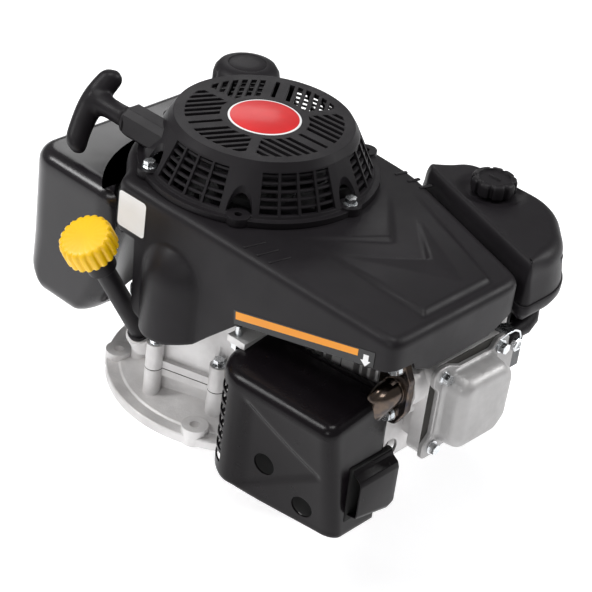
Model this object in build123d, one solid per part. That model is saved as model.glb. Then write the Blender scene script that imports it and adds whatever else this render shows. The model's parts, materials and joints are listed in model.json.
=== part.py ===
from build123d import *
import math
import os

# Small vertical-shaft gasoline engine, in millimetres.
# The origin is on the crankshaft axis in the plane of the mounting flange's underside.
# +Z is up along the crankshaft and +X runs along the cylinder, towards the valve cover.
# -Y is the exhaust side, +Y the air-cleaner side and -X the fuel-tank side.

# ---- driving dimensions ----
BOLT_CIRCLE_R = 101.6            # flange holes on an 8 inch circle
FLANGE_HOLE_R = 4.4
FLANGE_ANGLES = (41.7, 115.6, 221.7, 295.6)
FLANGE_R = 112.0
FLANGE_T = 11.0
BOSS_R = 11.5
BOSS_TOP = 15.5
CASE_JOINT = 38.0                # joint between sump cover and crankcase
CASE_TOP = 164.0
WALL = 6.0
GASKET = 0.8

PTO_R = 11.11                    # 7/8 inch power take-off shaft
PTO_LENGTH = 62.0
JOURNAL_R = 12.5
STROKE = 51.0
BORE_R = 35.0
CYL_Z = 118.0                    # height of the cylinder axis
CRANK_X = STROKE / 2             # the crank pin stands at top dead centre
ROD_LENGTH = 105.0
WRIST_X = CRANK_X + ROD_LENGTH
DECK_X = WRIST_X + 28.5
HEAD_END = 236.0                 # valve cover joint
COVER_END = 262.0
RUNNING = 0.05                   # radial clearance of shafts in bearings

GEAR_MODULE = 1.75
CRANK_TEETH = 20
CAM_TEETH = 40
CAM_Y = 46.0
CAM_X = math.sqrt((GEAR_MODULE * (CRANK_TEETH + CAM_TEETH) / 2) ** 2 - CAM_Y ** 2)
VALVE_ROWS = {"intake": CYL_Z - 14.0, "exhaust": CYL_Z + 14.0}
PIVOT_Y = 20.0                   # rocker pivot line
VALVE_Y = 2 * PIVOT_Y - CAM_Y

SHROUD_TOP = 212.0
SHROUD_R = 108.0
SHROUD_SIDE = -107.0
SHROUD_FRONT = 243.0
SHEET = 2.5
STARTER_FLANGE_R = 100.0
STARTER_R = 74.0
STARTER_TOP = 257.0
STARTER_FLOOR = 216.0
LUG_ANGLES = tuple(range(4, 364, 60))
ROPE_R = 60.0
ROPE_Z = 231.0
ROPE_D = 4.5

TANK_X = (-172.0, -62.0)
TANK_Y = (-100.0, 128.0)
TANK_Z = (52.0, 186.0)
FUEL_CAP = (-112.0, 98.0)
FUEL_CAP_R = 30.0
FUEL_CAP_TOP = 232.0

OIL_BASE = Vector(-35.0, -85.0, 63.0)
OIL_AXIS = Vector(-0.05, -0.497, 0.866).normalized()
OIL_TUBE_R = 8.5
OIL_CAP_R = 23.0

CLEANER_X = (80.0, 245.0)
CLEANER_Y = (52.0, 158.0)
CLEANER_FLOOR = 165.0
CLEANER_JOINT = 181.0
CLEANER_TOP = 218.0
KNOB = (147.0, 124.0)
KNOB_R = 19.0

MUFFLER_X = (100.0, 214.0)
MUFFLER_Y = (-132.0, -62.0)
MUFFLER_Z = (22.0, 122.0)

FIN_Y = (-59.0, 59.0)
FIN_Z = (CYL_Z - 54.0, CYL_Z + 54.0)
VALVE_HEAD_R = {"intake": 13.8, "exhaust": 12.5}
VALVE_LIFT = 5.5
PORT_R = {"intake": 8.0, "exhaust": 9.5}
EXHAUST_X = 218.0
EXHAUST_Z = 140.0
EXHAUST_FACE = -60.0
EXHAUST_STUDS = (EXHAUST_Z - 21, EXHAUST_Z + 21)
COVER_T = 4.0


# ---- helpers ----
def post(radius, bottom, top, x=0.0, y=0.0):
    """A round bar along Z."""
    return Pos(x, y, (bottom + top) / 2) * Cylinder(radius, top - bottom)


def collar(outer, inner, bottom, top, x=0.0, y=0.0):
    """A ring along Z."""
    return post(outer, bottom, top, x, y) - post(inner, bottom - 1, top + 1, x, y)


def block(xs, ys, zs):
    """A box between two corners."""
    size = (xs[1] - xs[0], ys[1] - ys[0], zs[1] - zs[0])
    centre = ((xs[0] + xs[1]) / 2, (ys[0] + ys[1]) / 2, (zs[0] + zs[1]) / 2)
    return Pos(*centre) * Box(*size)


def bar(start, end, radius):
    """A round bar between two points."""
    start, end = Vector(*start), Vector(*end)
    run = end - start
    return Plane(origin=start, z_dir=run) * Pos(0, 0, run.length / 2) * Cylinder(radius, run.length)


def bar_x(radius, x0, x1, y, z):
    return bar((x0, y, z), (x1, y, z), radius)


def plate(points, bottom, top):
    """A flat outline in plan, given a height."""
    face = make_face(Polyline(*points, close=True))
    return extrude(Pos(0, 0, bottom) * face, top - bottom)


def upright(points, y0, y1):
    """An outline in X and Z, given a thickness along Y."""
    face = make_face(Polyline(*[(x, 0, z) for x, z in points], close=True))
    return Pos(0, (y0 + y1) / 2, 0) * extrude(face, (y1 - y0) / 2, dir=(0, 1, 0), both=True)


def grown(points, by):
    """An outline in plan moved outward, or inward if by is negative, with sharp corners."""
    face = offset(make_face(Polyline(*points, close=True)), by, kind=Kind.INTERSECTION)
    return face.face()


def slab(face, bottom, top):
    return extrude(Pos(0, 0, bottom) * face, top - bottom)


def polar(radius, degrees):
    return radius * math.cos(math.radians(degrees)), radius * math.sin(math.radians(degrees))


def bolt_z(x, y, seat, head_r=5.5, shank_r=3.0, length=16.0, up=True):
    """A flanged hex bolt along Z. up is True when its head is above the seat."""
    s = 1 if up else -1
    hexagon = Pos(x, y, seat + s * 3.3) * extrude(RegularPolygon(head_r, 6), 2.7, both=True)
    washer = Pos(x, y, seat + s * 0.6) * Cylinder(head_r * 1.2, 1.2)
    stem = Pos(x, y, seat - s * length / 2) * Cylinder(shank_r, length)
    return hexagon + washer + stem


def aimed(solid, at, direction):
    """Moves a solid made about the origin along +Z to a point, turned along a direction."""
    return Plane(origin=Vector(*at), z_dir=Vector(*direction)) * solid


def bolt_at(at, direction, head_r=5.5, shank_r=3.0, length=16.0):
    """A bolt with its seat at a point and its head towards a direction."""
    return aimed(bolt_z(0, 0, 0, head_r, shank_r, length), at, direction)


def joined(solids):
    """Several separate solids as one shape."""
    return Compound(children=[part for solid in solids for part in solid.solids()])


def gear_outline(module, teeth, phase, backlash=0.16):
    """Points of an involute spur gear with one tooth centred at the phase angle, in degrees."""
    pitch_r = module * teeth / 2
    base_r = pitch_r * math.cos(math.radians(20))
    tip_r = pitch_r + module
    root_r = pitch_r - 1.25 * module
    half_pitch = math.pi / (2 * teeth) - backlash / (2 * pitch_r)
    inv = math.tan(math.radians(20)) - math.radians(20)
    flank = []
    for step in range(5):
        r = max(base_r, root_r) + (tip_r - max(base_r, root_r)) * step / 4
        a = math.acos(min(1.0, base_r / r))
        flank.append((r, half_pitch + inv - (math.tan(a) - a)))
    points = []
    for tooth in range(teeth):
        centre = math.radians(phase) + 2 * math.pi * tooth / teeth
        side = [(root_r, flank[0][1])] + flank if root_r < flank[0][0] else flank
        for r, a in side:
            points.append((r * math.cos(centre - a), r * math.sin(centre - a)))
        for r, a in reversed(side):
            points.append((r * math.cos(centre + a), r * math.sin(centre + a)))
    return points


# ---- sump cover, crankcase and cylinder ----
CASE_PLAN = [(-20, -80), (88, -44), (88, 46), (68, 52), (62, 72), (45, 91), (-18, 91), (-74, 50), (-74, -42)]
CASE_BOLTS = [(-16, -85), (40, -66), (94, -30), (94, 40), (58, 83), (14, 96), (-62, 66), (-80, 4), (-60, -58)]
HEAD_BOLTS = [(y, CYL_Z + dz) for y in (-50, 50) for dz in (-45, 45)]
COVER_BOLTS = [(y, CYL_Z + dz) for y in (-35, 35) for dz in (-33, 33)]
CASE_EAR_R = 7.5
BOLT_POCKET_R = 6.5              # room for a socket beside the case wall
GEAR_Z = (54.0, 62.0)
CAM_RELIEF_R = GEAR_MODULE * (CAM_TEETH / 2 + 1) + 1.2
RIM_T = 9.0
RIM_IN_R = 101.0
TANK_ARM_Y = [(-36, -20), (30, 46)]
TANK_REACH = SHROUD_R + 5
TANK_BOLTS = [(-92, -28), (-92, 38)]
SHROUD_BOLT_SEATS = [(85, -98, 125)]
SHROUD_ARM_T = 6.0
GUARD_FOOT = Vector(-45.0, -62.4, 92.0)
GUARD_AWAY = Vector(-0.576, -0.818, 0).normalized()
COIL_ARM_X = (0, 25)
COIL_Z = 172.0
case_face = make_face(Polyline(*CASE_PLAN, close=True))
lip_face = grown(CASE_PLAN, 5.0)
room_face = grown(CASE_PLAN, -WALL)


def sump_cover():
    # a flat rim, then a shallow cone that rises to the case wall
    profile = [(0, 0, 0), (FLANGE_R - 1, 0, 0), (FLANGE_R, 0, 1), (FLANGE_R, 0, RIM_T - 1), (FLANGE_R - 1, 0, RIM_T),
               (RIM_IN_R, 0, RIM_T), (RIM_IN_R - 1.5, 0, RIM_T + 1.5), (60, 0, 20), (0, 0, 20)]
    body = revolve(make_face(Polyline(*profile, close=True)), Axis.Z) + slab(case_face, 1, CASE_JOINT)
    body += slab(lip_face, CASE_JOINT - 7, CASE_JOINT)
    for x, y in CASE_BOLTS:
        body += post(CASE_EAR_R, RIM_T - 1, CASE_JOINT, x, y)
    body -= slab(room_face, FLANGE_T, CASE_JOINT + 1)
    body += post(26, FLANGE_T, 34)
    body += post(12, FLANGE_T, 26, CAM_X, CAM_Y)
    for angle in FLANGE_ANGLES:
        x, y = polar(BOLT_CIRCLE_R, angle)
        body += post(BOSS_R, 0, BOSS_TOP, x, y)
        body -= post(FLANGE_HOLE_R, -1, BOSS_TOP + 1, x, y)
    body -= post(JOURNAL_R + RUNNING, 7, 40)
    body -= post(PTO_R + 8, -1, 7)
    body -= post(7 + RUNNING, 16, 40, CAM_X, CAM_Y)
    for x, y in CASE_BOLTS:
        body -= post(3.0, CASE_JOINT - 12, CASE_JOINT + 1, x, y)
    return body


def crankcase():
    base = CASE_JOINT + GASKET
    body = slab(case_face, base, CASE_TOP) + slab(lip_face, base, base + 7)
    for x, y in CASE_BOLTS:
        body += post(CASE_EAR_R, base, base + 24, x, y)
    body -= slab(room_face, base - 1, CASE_TOP - 7)
    body += post(30, CASE_TOP - 20, CASE_TOP + 6)
    body += post(12, CASE_TOP - 22, CASE_TOP - 6, CAM_X, CAM_Y)
    # cylinder barrel with square fins, a liner that reaches into the case, and the pushrod gallery
    body += bar_x(BORE_R + 7, 68, DECK_X, 0, CYL_Z)
    body += block((82, DECK_X), (CAM_Y - 8, CAM_Y + 9), (CYL_Z - 23, CYL_Z + 23))
    fin_x = 96.0
    while fin_x < DECK_X - 10:
        fin = block((fin_x, fin_x + 2.6), FIN_Y, FIN_Z)
        body += fillet(fin.edges().filter_by(Axis.X), 9)
        fin_x += 9.0
    body += fillet(block((DECK_X - 9, DECK_X), FIN_Y, FIN_Z).edges().filter_by(Axis.X), 9)
    for y, z in HEAD_BOLTS:
        body += bar_x(9, DECK_X - 36, DECK_X, y, z)
    # arms for the fuel tank, the shroud and the ignition coil
    for ys in TANK_ARM_Y:
        body += block((-118, -70), ys, (112, 132)) & post(TANK_REACH, 0, 200)
    for x, y, seat in SHROUD_BOLT_SEATS:
        body += block((x - 6, x + 13), (y - 6, -38), (seat, seat + SHROUD_ARM_T))
    for x in COIL_ARM_X:
        body += block((x, x + 5), (-98, -60), (150, 166)) + block((x, x + 5), (-98, -88.5), (150, COIL_Z))
    body += guard_bolt_boss(7, 14) + oil_boss()
    body -= slab(room_face, base - 1, CASE_TOP - 7) - post(30, CASE_TOP - 20, 200) - bar_x(BORE_R + 7, 68, 200, 0, CYL_Z) \
        - post(12, CASE_TOP - 22, 200, CAM_X, CAM_Y)
    body -= bar(along(-8), along(60), OIL_TUBE_R + 0.02) + bar(along(0.1), along(60), OIL_TUBE_R + 2.5)
    body -= bar(along(-8), along(-8) + Vector(0, 28, -3), 6)
    body -= guard_bolt_boss(3.0, 15)
    body -= bar_x(BORE_R + 0.05, 60, DECK_X + 1, 0, CYL_Z)
    for z in VALVE_ROWS.values():
        body -= bar_x(4.6, 60, DECK_X + 1, CAM_Y, z)
    body -= post(JOURNAL_R + 8, CASE_TOP - 14, CASE_TOP + 1)
    body -= post(JOURNAL_R + 1, CASE_TOP - 30, CASE_TOP + 7)
    body -= post(7 + RUNNING, CASE_TOP - 30, CASE_TOP - 10, CAM_X, CAM_Y)
    for x, y in CASE_BOLTS:
        body -= post(3.0, base - 1, base + 30, x, y)
        body -= post(BOLT_POCKET_R, base + 24, base + 38, x, y)
    body -= post(CAM_RELIEF_R, GEAR_Z[0] - 1.5, GEAR_Z[1] + 1.5, CAM_X, CAM_Y)
    for y, z in HEAD_BOLTS:
        body -= bar_x(4.0, DECK_X - 24, DECK_X + 1, y, z)
    for x, y, seat in SHROUD_BOLT_SEATS:
        body -= post(3.0, seat - 1, seat + 20, x, y)
    for x, y in TANK_BOLTS:
        body -= post(3.0, 116, 140, x, y)
    return body


def oil_boss():
    """The cast socket that the oil filler tube stands in."""
    return bar(along(-16), along(0), OIL_TUBE_R + 4.5) + bar(along(-9), along(-9) + Vector(3, 24, 0), 9)


def guard_bolt_boss(radius, reach):
    """A round boss square to the slanted corner of the case."""
    return bar(GUARD_FOOT - GUARD_AWAY * 5, GUARD_FOOT + GUARD_AWAY * reach, radius)


def sump_bolts():
    seat = CASE_JOINT + GASKET + 24
    return joined([bolt_z(x, y, seat, 5, 3.0, 36.0) for x, y in CASE_BOLTS])


def gasket_plate():
    ring = slab(lip_face, CASE_JOINT, CASE_JOINT + GASKET)
    for x, y in CASE_BOLTS:
        ring += post(CASE_EAR_R, CASE_JOINT, CASE_JOINT + GASKET, x, y)
        ring -= post(3.0, 0, 100, x, y)
    ring -= slab(room_face, 0, 100)
    return ring


# ---- cylinder head, valve cover ----
head_start = DECK_X + GASKET
plug_axis = Vector(0.35, -0.25, -0.9).normalized()
plug_seat = Vector(178, -31, CYL_Z - 20)
port_x = 182.0
VALVE_SEAT = head_start + 8.5


def cover_flange(x0, x1):
    """The joint outline between head and valve cover, with an ear over the pushrods."""
    body = fillet(block((x0, x1), (-45, 45), (CYL_Z - 42, CYL_Z + 42)).edges().filter_by(Axis.X), 10)
    return body + block((x0, x1), (40, 56), (CYL_Z - 26, CYL_Z + 26))


def cylinder_head():
    body = fillet(block((head_start, 172), FIN_Y, FIN_Z).edges().filter_by(Axis.X), 9)
    body += block((170, HEAD_END), (-38, 54), (CYL_Z - 32, CYL_Z + 32))
    for i in range(5):
        x = 178.0 + 8 * i
        fin = block((x, x + 2.6), FIN_Y, FIN_Z)
        body += fillet(fin.edges().filter_by(Axis.X), 9)
    body += cover_flange(224, HEAD_END)
    body += bar((port_x, 30, 86), (port_x, 60, 86), 15)
    body += bar((EXHAUST_X, -30, EXHAUST_Z), (EXHAUST_X, EXHAUST_FACE, EXHAUST_Z), 17)
    for z in EXHAUST_STUDS:
        body += bar((EXHAUST_X, -36, z), (EXHAUST_X, EXHAUST_FACE, z), 8)
    body += bar(plug_seat - plug_axis * 8, plug_seat + plug_axis * 14, 12)
    # combustion chamber, rocker chamber
    body -= bar_x(BORE_R - 3, head_start - 1, head_start + 5, 0, CYL_Z)
    body -= block((212, HEAD_END + 1), (-34, 51), (CYL_Z - 28, CYL_Z + 28))
    ports = {
        "intake": [(port_x, VALVE_Y, VALVE_ROWS["intake"]), (port_x, 61, 86)],
        "exhaust": [(port_x, VALVE_Y, VALVE_ROWS["exhaust"]), (EXHAUST_X, EXHAUST_FACE - 1, EXHAUST_Z)],
    }
    for name, z in VALVE_ROWS.items():
        start, end = ports[name]
        body -= bar_x(VALVE_HEAD_R[name] - 1.5, head_start + 3, port_x + 3, VALVE_Y, z)
        body -= bar(start, end, PORT_R[name])
        body -= bar_x(3.0 + RUNNING, port_x - 5, HEAD_END + 1, VALVE_Y, z)
        body -= bar_x(4.6, head_start - 1, HEAD_END, CAM_Y, z)
        body -= bar_x(VALVE_HEAD_R[name] + 0.4, head_start - 1, VALVE_SEAT, VALVE_Y, z)
        body -= bar_x(3.2, 203, HEAD_END, PIVOT_Y, z)
    body -= bar(plug_seat - plug_axis * 16, plug_seat + plug_axis * 20, 6.6)
    body -= bar(Vector(head_start + 3, -22, CYL_Z - 2), plug_seat - plug_axis * 15, 5)
    body -= bar(plug_seat + plug_axis * 14, plug_seat + plug_axis * 60, 12)
    for z in EXHAUST_STUDS:
        body -= bar((EXHAUST_X, EXHAUST_FACE + 14, z), (EXHAUST_X, EXHAUST_FACE - 1, z), 3.0)
    for y, z in HEAD_BOLTS:
        body -= bar_x(4.0, head_start - 1, 300, y, z)
        body -= bar_x(9, 176, 300, y, z)
    for y, z in COVER_BOLTS:
        body -= bar_x(2.6, HEAD_END - 14, HEAD_END + 1, y, z)
    return body


def head_gasket():
    ring = fillet(block((DECK_X, head_start), FIN_Y, FIN_Z).edges().filter_by(Axis.X), 9)
    ring -= bar_x(BORE_R + 1.5, DECK_X - 1, head_start + 1, 0, CYL_Z)
    for z in VALVE_ROWS.values():
        ring -= bar_x(5.0, DECK_X - 1, head_start + 1, CAM_Y, z)
    for y, z in HEAD_BOLTS:
        ring -= bar_x(4.0, DECK_X - 1, head_start + 1, y, z)
    return ring


def head_bolts():
    return joined([bolt_at((176, y, z), (1, 0, 0), 7, 4.0, 38) for y, z in HEAD_BOLTS])


def valve_cover():
    flange = cover_flange(HEAD_END + GASKET, HEAD_END + COVER_T + GASKET)
    low = block((HEAD_END + GASKET, 249), (-38, 54), (CYL_Z - 24, CYL_Z + 24))
    low = chamfer(low.edges().group_by(Axis.X)[-1], 3)
    box = block((HEAD_END + GASKET, COVER_END), (-39, 37), (CYL_Z - 28, CYL_Z + 33))
    box = chamfer(box.edges().filter_by(Axis.X), 8)
    box = fillet(box.edges().group_by(Axis.X)[-1], 4)
    outside = low + box
    for y, z in COVER_BOLTS:
        outside -= bar_x(8.5, HEAD_END, 300, y, z)
    inside = block((HEAD_END, COVER_END - 3), (-27, 26), (CYL_Z - 24, CYL_Z + 24))
    inside += block((HEAD_END, COVER_END - 3), (-34, 32), (CYL_Z - 20, CYL_Z + 20))
    inside += block((HEAD_END, 246), (-34, 51), (CYL_Z - 21, CYL_Z + 21))
    cover = flange + outside - inside
    for y, z in COVER_BOLTS:
        cover -= bar_x(2.6, HEAD_END, 300, y, z)
    return cover


def valve_cover_gasket():
    ring = cover_flange(HEAD_END, HEAD_END + GASKET)
    ring -= block((HEAD_END - 1, HEAD_END + 2), (-34, 51), (CYL_Z - 21, CYL_Z + 21))
    for y, z in COVER_BOLTS:
        ring -= bar_x(2.6, HEAD_END - 1, HEAD_END + 2, y, z)
    return ring


def valve_cover_bolts():
    seat = HEAD_END + GASKET + COVER_T
    return joined([bolt_at((seat, y, z), (1, 0, 0), 4.8, 2.6, 17) for y, z in COVER_BOLTS])


def spark_plug():
    shell = bar(plug_seat + plug_axis * 14.2, plug_seat + plug_axis * 22, 9)
    thread = bar(plug_seat - plug_axis * 5, plug_seat + plug_axis * 15, 6.5)
    insulator = bar(plug_seat + plug_axis * 21, plug_seat + plug_axis * 42, 4.5)
    terminal = bar(plug_seat + plug_axis * 41, plug_seat + plug_axis * 50, 3.2)
    return shell + thread + insulator + terminal


# ---- crankshaft, camshaft and piston parts ----
WEB_R = 37.5
WEB_T = 12.0
WEB_GAP = 10.5


def web(bottom):
    """A crank web: a pin eye opposite a counterweight."""
    disc = post(WEB_R, bottom, bottom + WEB_T)
    for side in (-1, 1):
        disc -= Pos(CRANK_X + 2, side * 44, bottom + WEB_T / 2) * Cylinder(26, 40)
    return disc


def crankshaft_lower():
    shaft = post(PTO_R, -PTO_LENGTH, 1) + post(JOURNAL_R, 0, CYL_Z - WEB_GAP - WEB_T)
    shaft = chamfer(shaft.edges().group_by(Axis.Z)[0], 1.0)
    shaft += web(CYL_Z - WEB_GAP - WEB_T)
    shaft -= block((PTO_R - 3.0, 20), (-2.38, 2.38), (-PTO_LENGTH - 1, -16))
    shaft -= post(3.9, -PTO_LENGTH - 1, -PTO_LENGTH + 28)
    shaft -= block((JOURNAL_R - 2.0, 20), (-2, 2), (52, 64))
    return shaft


def crankshaft_upper():
    shaft = web(CYL_Z + WEB_GAP) + post(JOURNAL_R, CYL_Z + WEB_GAP + WEB_T - 0.5, 176)
    shaft += Pos(0, 0, 188) * Cone(JOURNAL_R, 9.5, 24)
    shaft += post(7, 199, 216)
    shaft -= block((7.5, 20), (-2, 2), (180, 192))
    return shaft


def gear(module, teeth, phase, bottom, top, x, y, hole):
    blank = plate([(x + px, y + py) for px, py in gear_outline(module, teeth, phase)], bottom, top)
    return blank - post(hole, bottom - 1, top + 1, x, y)


mesh_angle = math.degrees(math.atan2(CAM_Y, CAM_X))


def crank_gear():
    body = gear(GEAR_MODULE, CRANK_TEETH, mesh_angle, GEAR_Z[0] - 1, GEAR_Z[1] + 1, 0, 0, JOURNAL_R)
    return body - block((0, JOURNAL_R + 2.0), (-2, 2), (50, 70))


def cam_gear():
    phase = mesh_angle + 180 + 180 / CAM_TEETH
    body = gear(GEAR_MODULE, CAM_TEETH, phase, GEAR_Z[0], GEAR_Z[1], CAM_X, CAM_Y, 9)
    for i in range(6):
        x, y = polar(21, 60 * i + 15)
        body -= post(5.5, 40, 80, CAM_X + x, CAM_Y + y)
    return body


def lobe(z, angle):
    """A cam lobe: a base circle hulled with a smaller nose."""
    nose_x, nose_y = polar(5.5, angle)
    nose = post(8.5, z - 6, z + 6, CAM_X + nose_x, CAM_Y + nose_y)
    return post(10, z - 6, z + 6, CAM_X, CAM_Y) + nose


def camshaft():
    shaft = post(7, 17, CASE_TOP - 11, CAM_X, CAM_Y) + post(9, 45, CASE_TOP - 24, CAM_X, CAM_Y)
    for z, angle in ((VALVE_ROWS["intake"], 120), (VALVE_ROWS["exhaust"], 225)):
        shaft += lobe(z, angle)
    return shaft


def connecting_rod():
    eye = post(19, CYL_Z - 9, CYL_Z + 9, CRANK_X) + post(11.5, CYL_Z - 9, CYL_Z + 9, WRIST_X)
    beam = block((CRANK_X + 10, WRIST_X - 8), (-7.5, 7.5), (CYL_Z - 7, CYL_Z + 7))
    channels = [block((CRANK_X + 24, WRIST_X - 16), (-4.5, 4.5), (CYL_Z + s, CYL_Z + s + 6)) for s in (3, -9)]
    ears = block((CRANK_X - 11, CRANK_X + 13), (-24, 24), (CYL_Z - 6, CYL_Z + 6))
    body = eye + beam + ears - channels[0] - channels[1]
    body -= post(13 + 0.05, 0, 300, CRANK_X)
    body -= post(8 + 0.02, 0, 300, WRIST_X)
    keep = block((CRANK_X + 0.05, 200), (-60, 60), (50, 200))
    cut = block((-100, CRANK_X - 0.05), (-60, 60), (50, 200))
    return body & keep, body & cut


def rod_cap():
    """The big end's cap with its two bolts."""
    seat = CRANK_X - 11
    bolts = [bolt_at((seat, y, CYL_Z), (-1, 0, 0), 3.6, 2.5, 10) for y in (-20.5, 20.5)]
    cap = connecting_rod()[1]
    return joined([cap - bolts[0] - bolts[1]] + bolts)


def piston():
    crown = WRIST_X + 28
    body = bar_x(BORE_R - 0.03, crown - 22, crown, 0, CYL_Z)
    skirt = bar_x(BORE_R - 0.03, WRIST_X - 22, crown - 21, 0, CYL_Z)
    body += skirt - block((0, crown - 7), (-70, 70), (CYL_Z - 13, CYL_Z + 13))
    body -= bar_x(BORE_R - 5, WRIST_X - 23, crown - 16, 0, CYL_Z) - bar((WRIST_X, 0, 80), (WRIST_X, 0, 105), 13)
    body += (bar((WRIST_X, 0, CYL_Z - 33), (WRIST_X, 0, CYL_Z - 11), 13)
             + bar((WRIST_X, 0, CYL_Z + 11), (WRIST_X, 0, CYL_Z + 33), 13)) & bar_x(34, 90, 170, 0, CYL_Z)
    body -= post(8 + 0.02, CYL_Z - 40, CYL_Z + 40, WRIST_X)
    for x in RING_X:
        body -= bar_x(BORE_R + 1, x, x + 2, 0, CYL_Z) - bar_x(BORE_R - 3, x, x + 2, 0, CYL_Z)
    return body


RING_X = [WRIST_X + 12 + 5 * i for i in range(3)]


def piston_rings():
    rings = []
    for x in RING_X:
        ring = bar_x(BORE_R - 0.01, x + 0.05, x + 1.95, 0, CYL_Z) - bar_x(BORE_R - 2.9, x - 1, x + 3, 0, CYL_Z)
        rings.append(ring - block((x - 1, x + 3), (BORE_R - 6, BORE_R + 1), (CYL_Z - 0.4, CYL_Z + 0.4)))
    return joined(rings)


# ---- valve train ----
TAPPET_X = CAM_X + 15.0


def valve(name):
    """A poppet valve lying along X, closed."""
    z = VALVE_ROWS[name]
    r = VALVE_HEAD_R[name]
    body = bar_x(r, VALVE_SEAT - 2.5, VALVE_SEAT, VALVE_Y, z)
    cone = Plane(origin=(VALVE_SEAT, VALVE_Y, z), z_dir=(1, 0, 0)) * Pos(0, 0, 2) * Cone(r - 3, 3, 4)
    stem = bar_x(3.0, VALVE_SEAT, 233, VALVE_Y, z)
    retainer = bar_x(9, 226.5, 229.5, VALVE_Y, z) - bar_x(3.0, 220, 240, VALVE_Y, z)
    return joined([body + cone + stem, retainer])


def valve_springs():
    """A coil spring for each valve, between the head and the retainer."""
    coils = []
    for z in VALVE_ROWS.values():
        path = Helix(pitch=3.5, height=11.2, radius=7.0)
        start = Plane(origin=path @ 0, z_dir=path % 0)
        coil = sweep(start * Circle(0.9), path=path, is_frenet=True)
        coils.append(Plane(origin=(213.4, VALVE_Y, z), z_dir=(1, 0, 0)) * coil)
    return joined(coils)


def pushrod(name):
    """A tappet and the pushrod that it carries."""
    z = VALVE_ROWS[name]
    end = 92.0
    foot = bar_x(9, TAPPET_X, TAPPET_X + 2.5, CAM_Y, z)
    tappet = foot + bar_x(4.5, TAPPET_X + 2.5, end, CAM_Y, z)
    return joined([tappet, bar_x(3.0, end, 230.8, CAM_Y, z)])


def rocker(name):
    """A rocker that turns about an upright axis between the pushrod and the valve."""
    z = VALVE_ROWS[name]
    arm = block((232, 237.5), (VALVE_Y - 4, CAM_Y + 4), (z - 5, z + 5))
    arm += block((230, 238), (PIVOT_Y - 7, PIVOT_Y + 7), (z - 6, z + 6))
    arm -= block((231, 234.2), (VALVE_Y - 5, VALVE_Y + 5), (z - 6, z + 6))
    arm -= bar_x(4.8, 220, 250, PIVOT_Y, z)
    return arm


def rocker_studs():
    studs = []
    for z in VALVE_ROWS.values():
        stud = bar_x(3.2, 203, 246, PIVOT_Y, z) + bar_x(6, 212, 228, PIVOT_Y, z)
        studs.append(stud + bar_x(5.5, 240.5, 244, PIVOT_Y, z))
    return joined(studs)


# ---- flywheel, fan and starter ----
def flywheel():
    body = post(86, 172, 186) + post(30, 172, 199)
    body -= post(72, 171, 178) - post(34, 171, 178)
    body -= Pos(0, 0, 188) * Cone(JOURNAL_R, 9.5, 24)
    body -= post(9.5, 150, 300) + post(JOURNAL_R, 170, 176)
    body -= block((0, 14), (-2, 2), (180, 192))
    for i in range(2):
        body -= Rot(0, 0, 20 + 14 * i) * block((78, 87), (-8, 8), (174, 184))
    return body


def flywheel_magnets():
    mags = []
    for i in range(2):
        mag = Rot(0, 0, 20 + 14 * i) * block((78, 87), (-8, 8), (174, 184))
        mags.append(mag & post(86, 170, 190))
    return joined(mags)


def fan():
    body = collar(92, 31, 186, 189)
    for i in range(20):
        blade = Pos(74, 0, 196.5) * Rot(0, 0, 35) * Box(38, 2.6, 16)
        body += Rot(0, 0, 18 * i) * (blade - collar(200, 94, 180, 220))
    return body - post(45, 189.5, 230)


def starter_cup():
    cup = collar(36, 33.5, 199, 218) + collar(36, 10, 199, 201.5)
    for i in range(6):
        cup -= Rot(0, 0, 60 * i) * block((30, 40), (-5, 5), (206, 214))
    return cup


def flywheel_nut():
    nut = Pos(0, 0, 205.5) * extrude(RegularPolygon(12, 6), 4, both=True) + post(14, 201.5, 203)
    return nut - post(7, 190, 230)


# the starter housing: a flange, a raked side wall with windows, and a slotted top
def side_wall(inset=0.0):
    """The raked bell of the housing as a solid, or smaller by the wall when inset."""
    profile = [(0, 0, STARTER_FLOOR - 1), (96 - inset, 0, STARTER_FLOOR - 1), (78 - inset, 0, 251 - inset),
               (STARTER_R - inset, 0, STARTER_TOP - inset), (0, 0, STARTER_TOP - inset)]
    return revolve(make_face(Polyline(*profile, close=True)), Axis.Z)


def side_windows():
    """Four tapered windows between each two lugs, away from the rope's spout."""
    windows = []
    for lug in LUG_ANGLES:
        for step in (-15.75, -5.25, 5.25, 15.75):
            angle = lug + 30 + step
            if 192 <= angle <= 242:
                continue
            corners = [polar(60, angle - 4.5), polar(120, angle - 4.5), polar(120, angle + 4.5), polar(60, angle + 4.5)]
            windows.append(plate(corners, STARTER_FLOOR + 3.5, 249.5))
    return windows


def top_slots():
    """Three sectors of parallel slots. A spoke stands between sectors, and a slotted one in the middle of each."""
    slots = []
    for sector in (4, 124, 244):
        for offset_y in [0.0] + [side * (12.5 + 7.3 * k) for k in range(6) for side in (-1, 1)]:
            strip = Pos(50, offset_y, 250) * Box(100, 4.3 if offset_y else 3.6, 20)
            strip = strip & collar(SLOT_OUT_R, SLOT_IN_R, 235, 262)
            for spoke in (-60, 60):
                strip -= Rot(0, 0, spoke) * Pos(50, 0, 250) * Box(100, 8, 30)
            # what lies beyond the spokes belongs to the next sector
            near = plate([(0, 0), polar(200, -60), polar(200, 0), polar(200, 60)], 235, 262)
            slots += [Rot(0, 0, sector) * piece for piece in (strip & near).solids()]
    return slots


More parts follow.
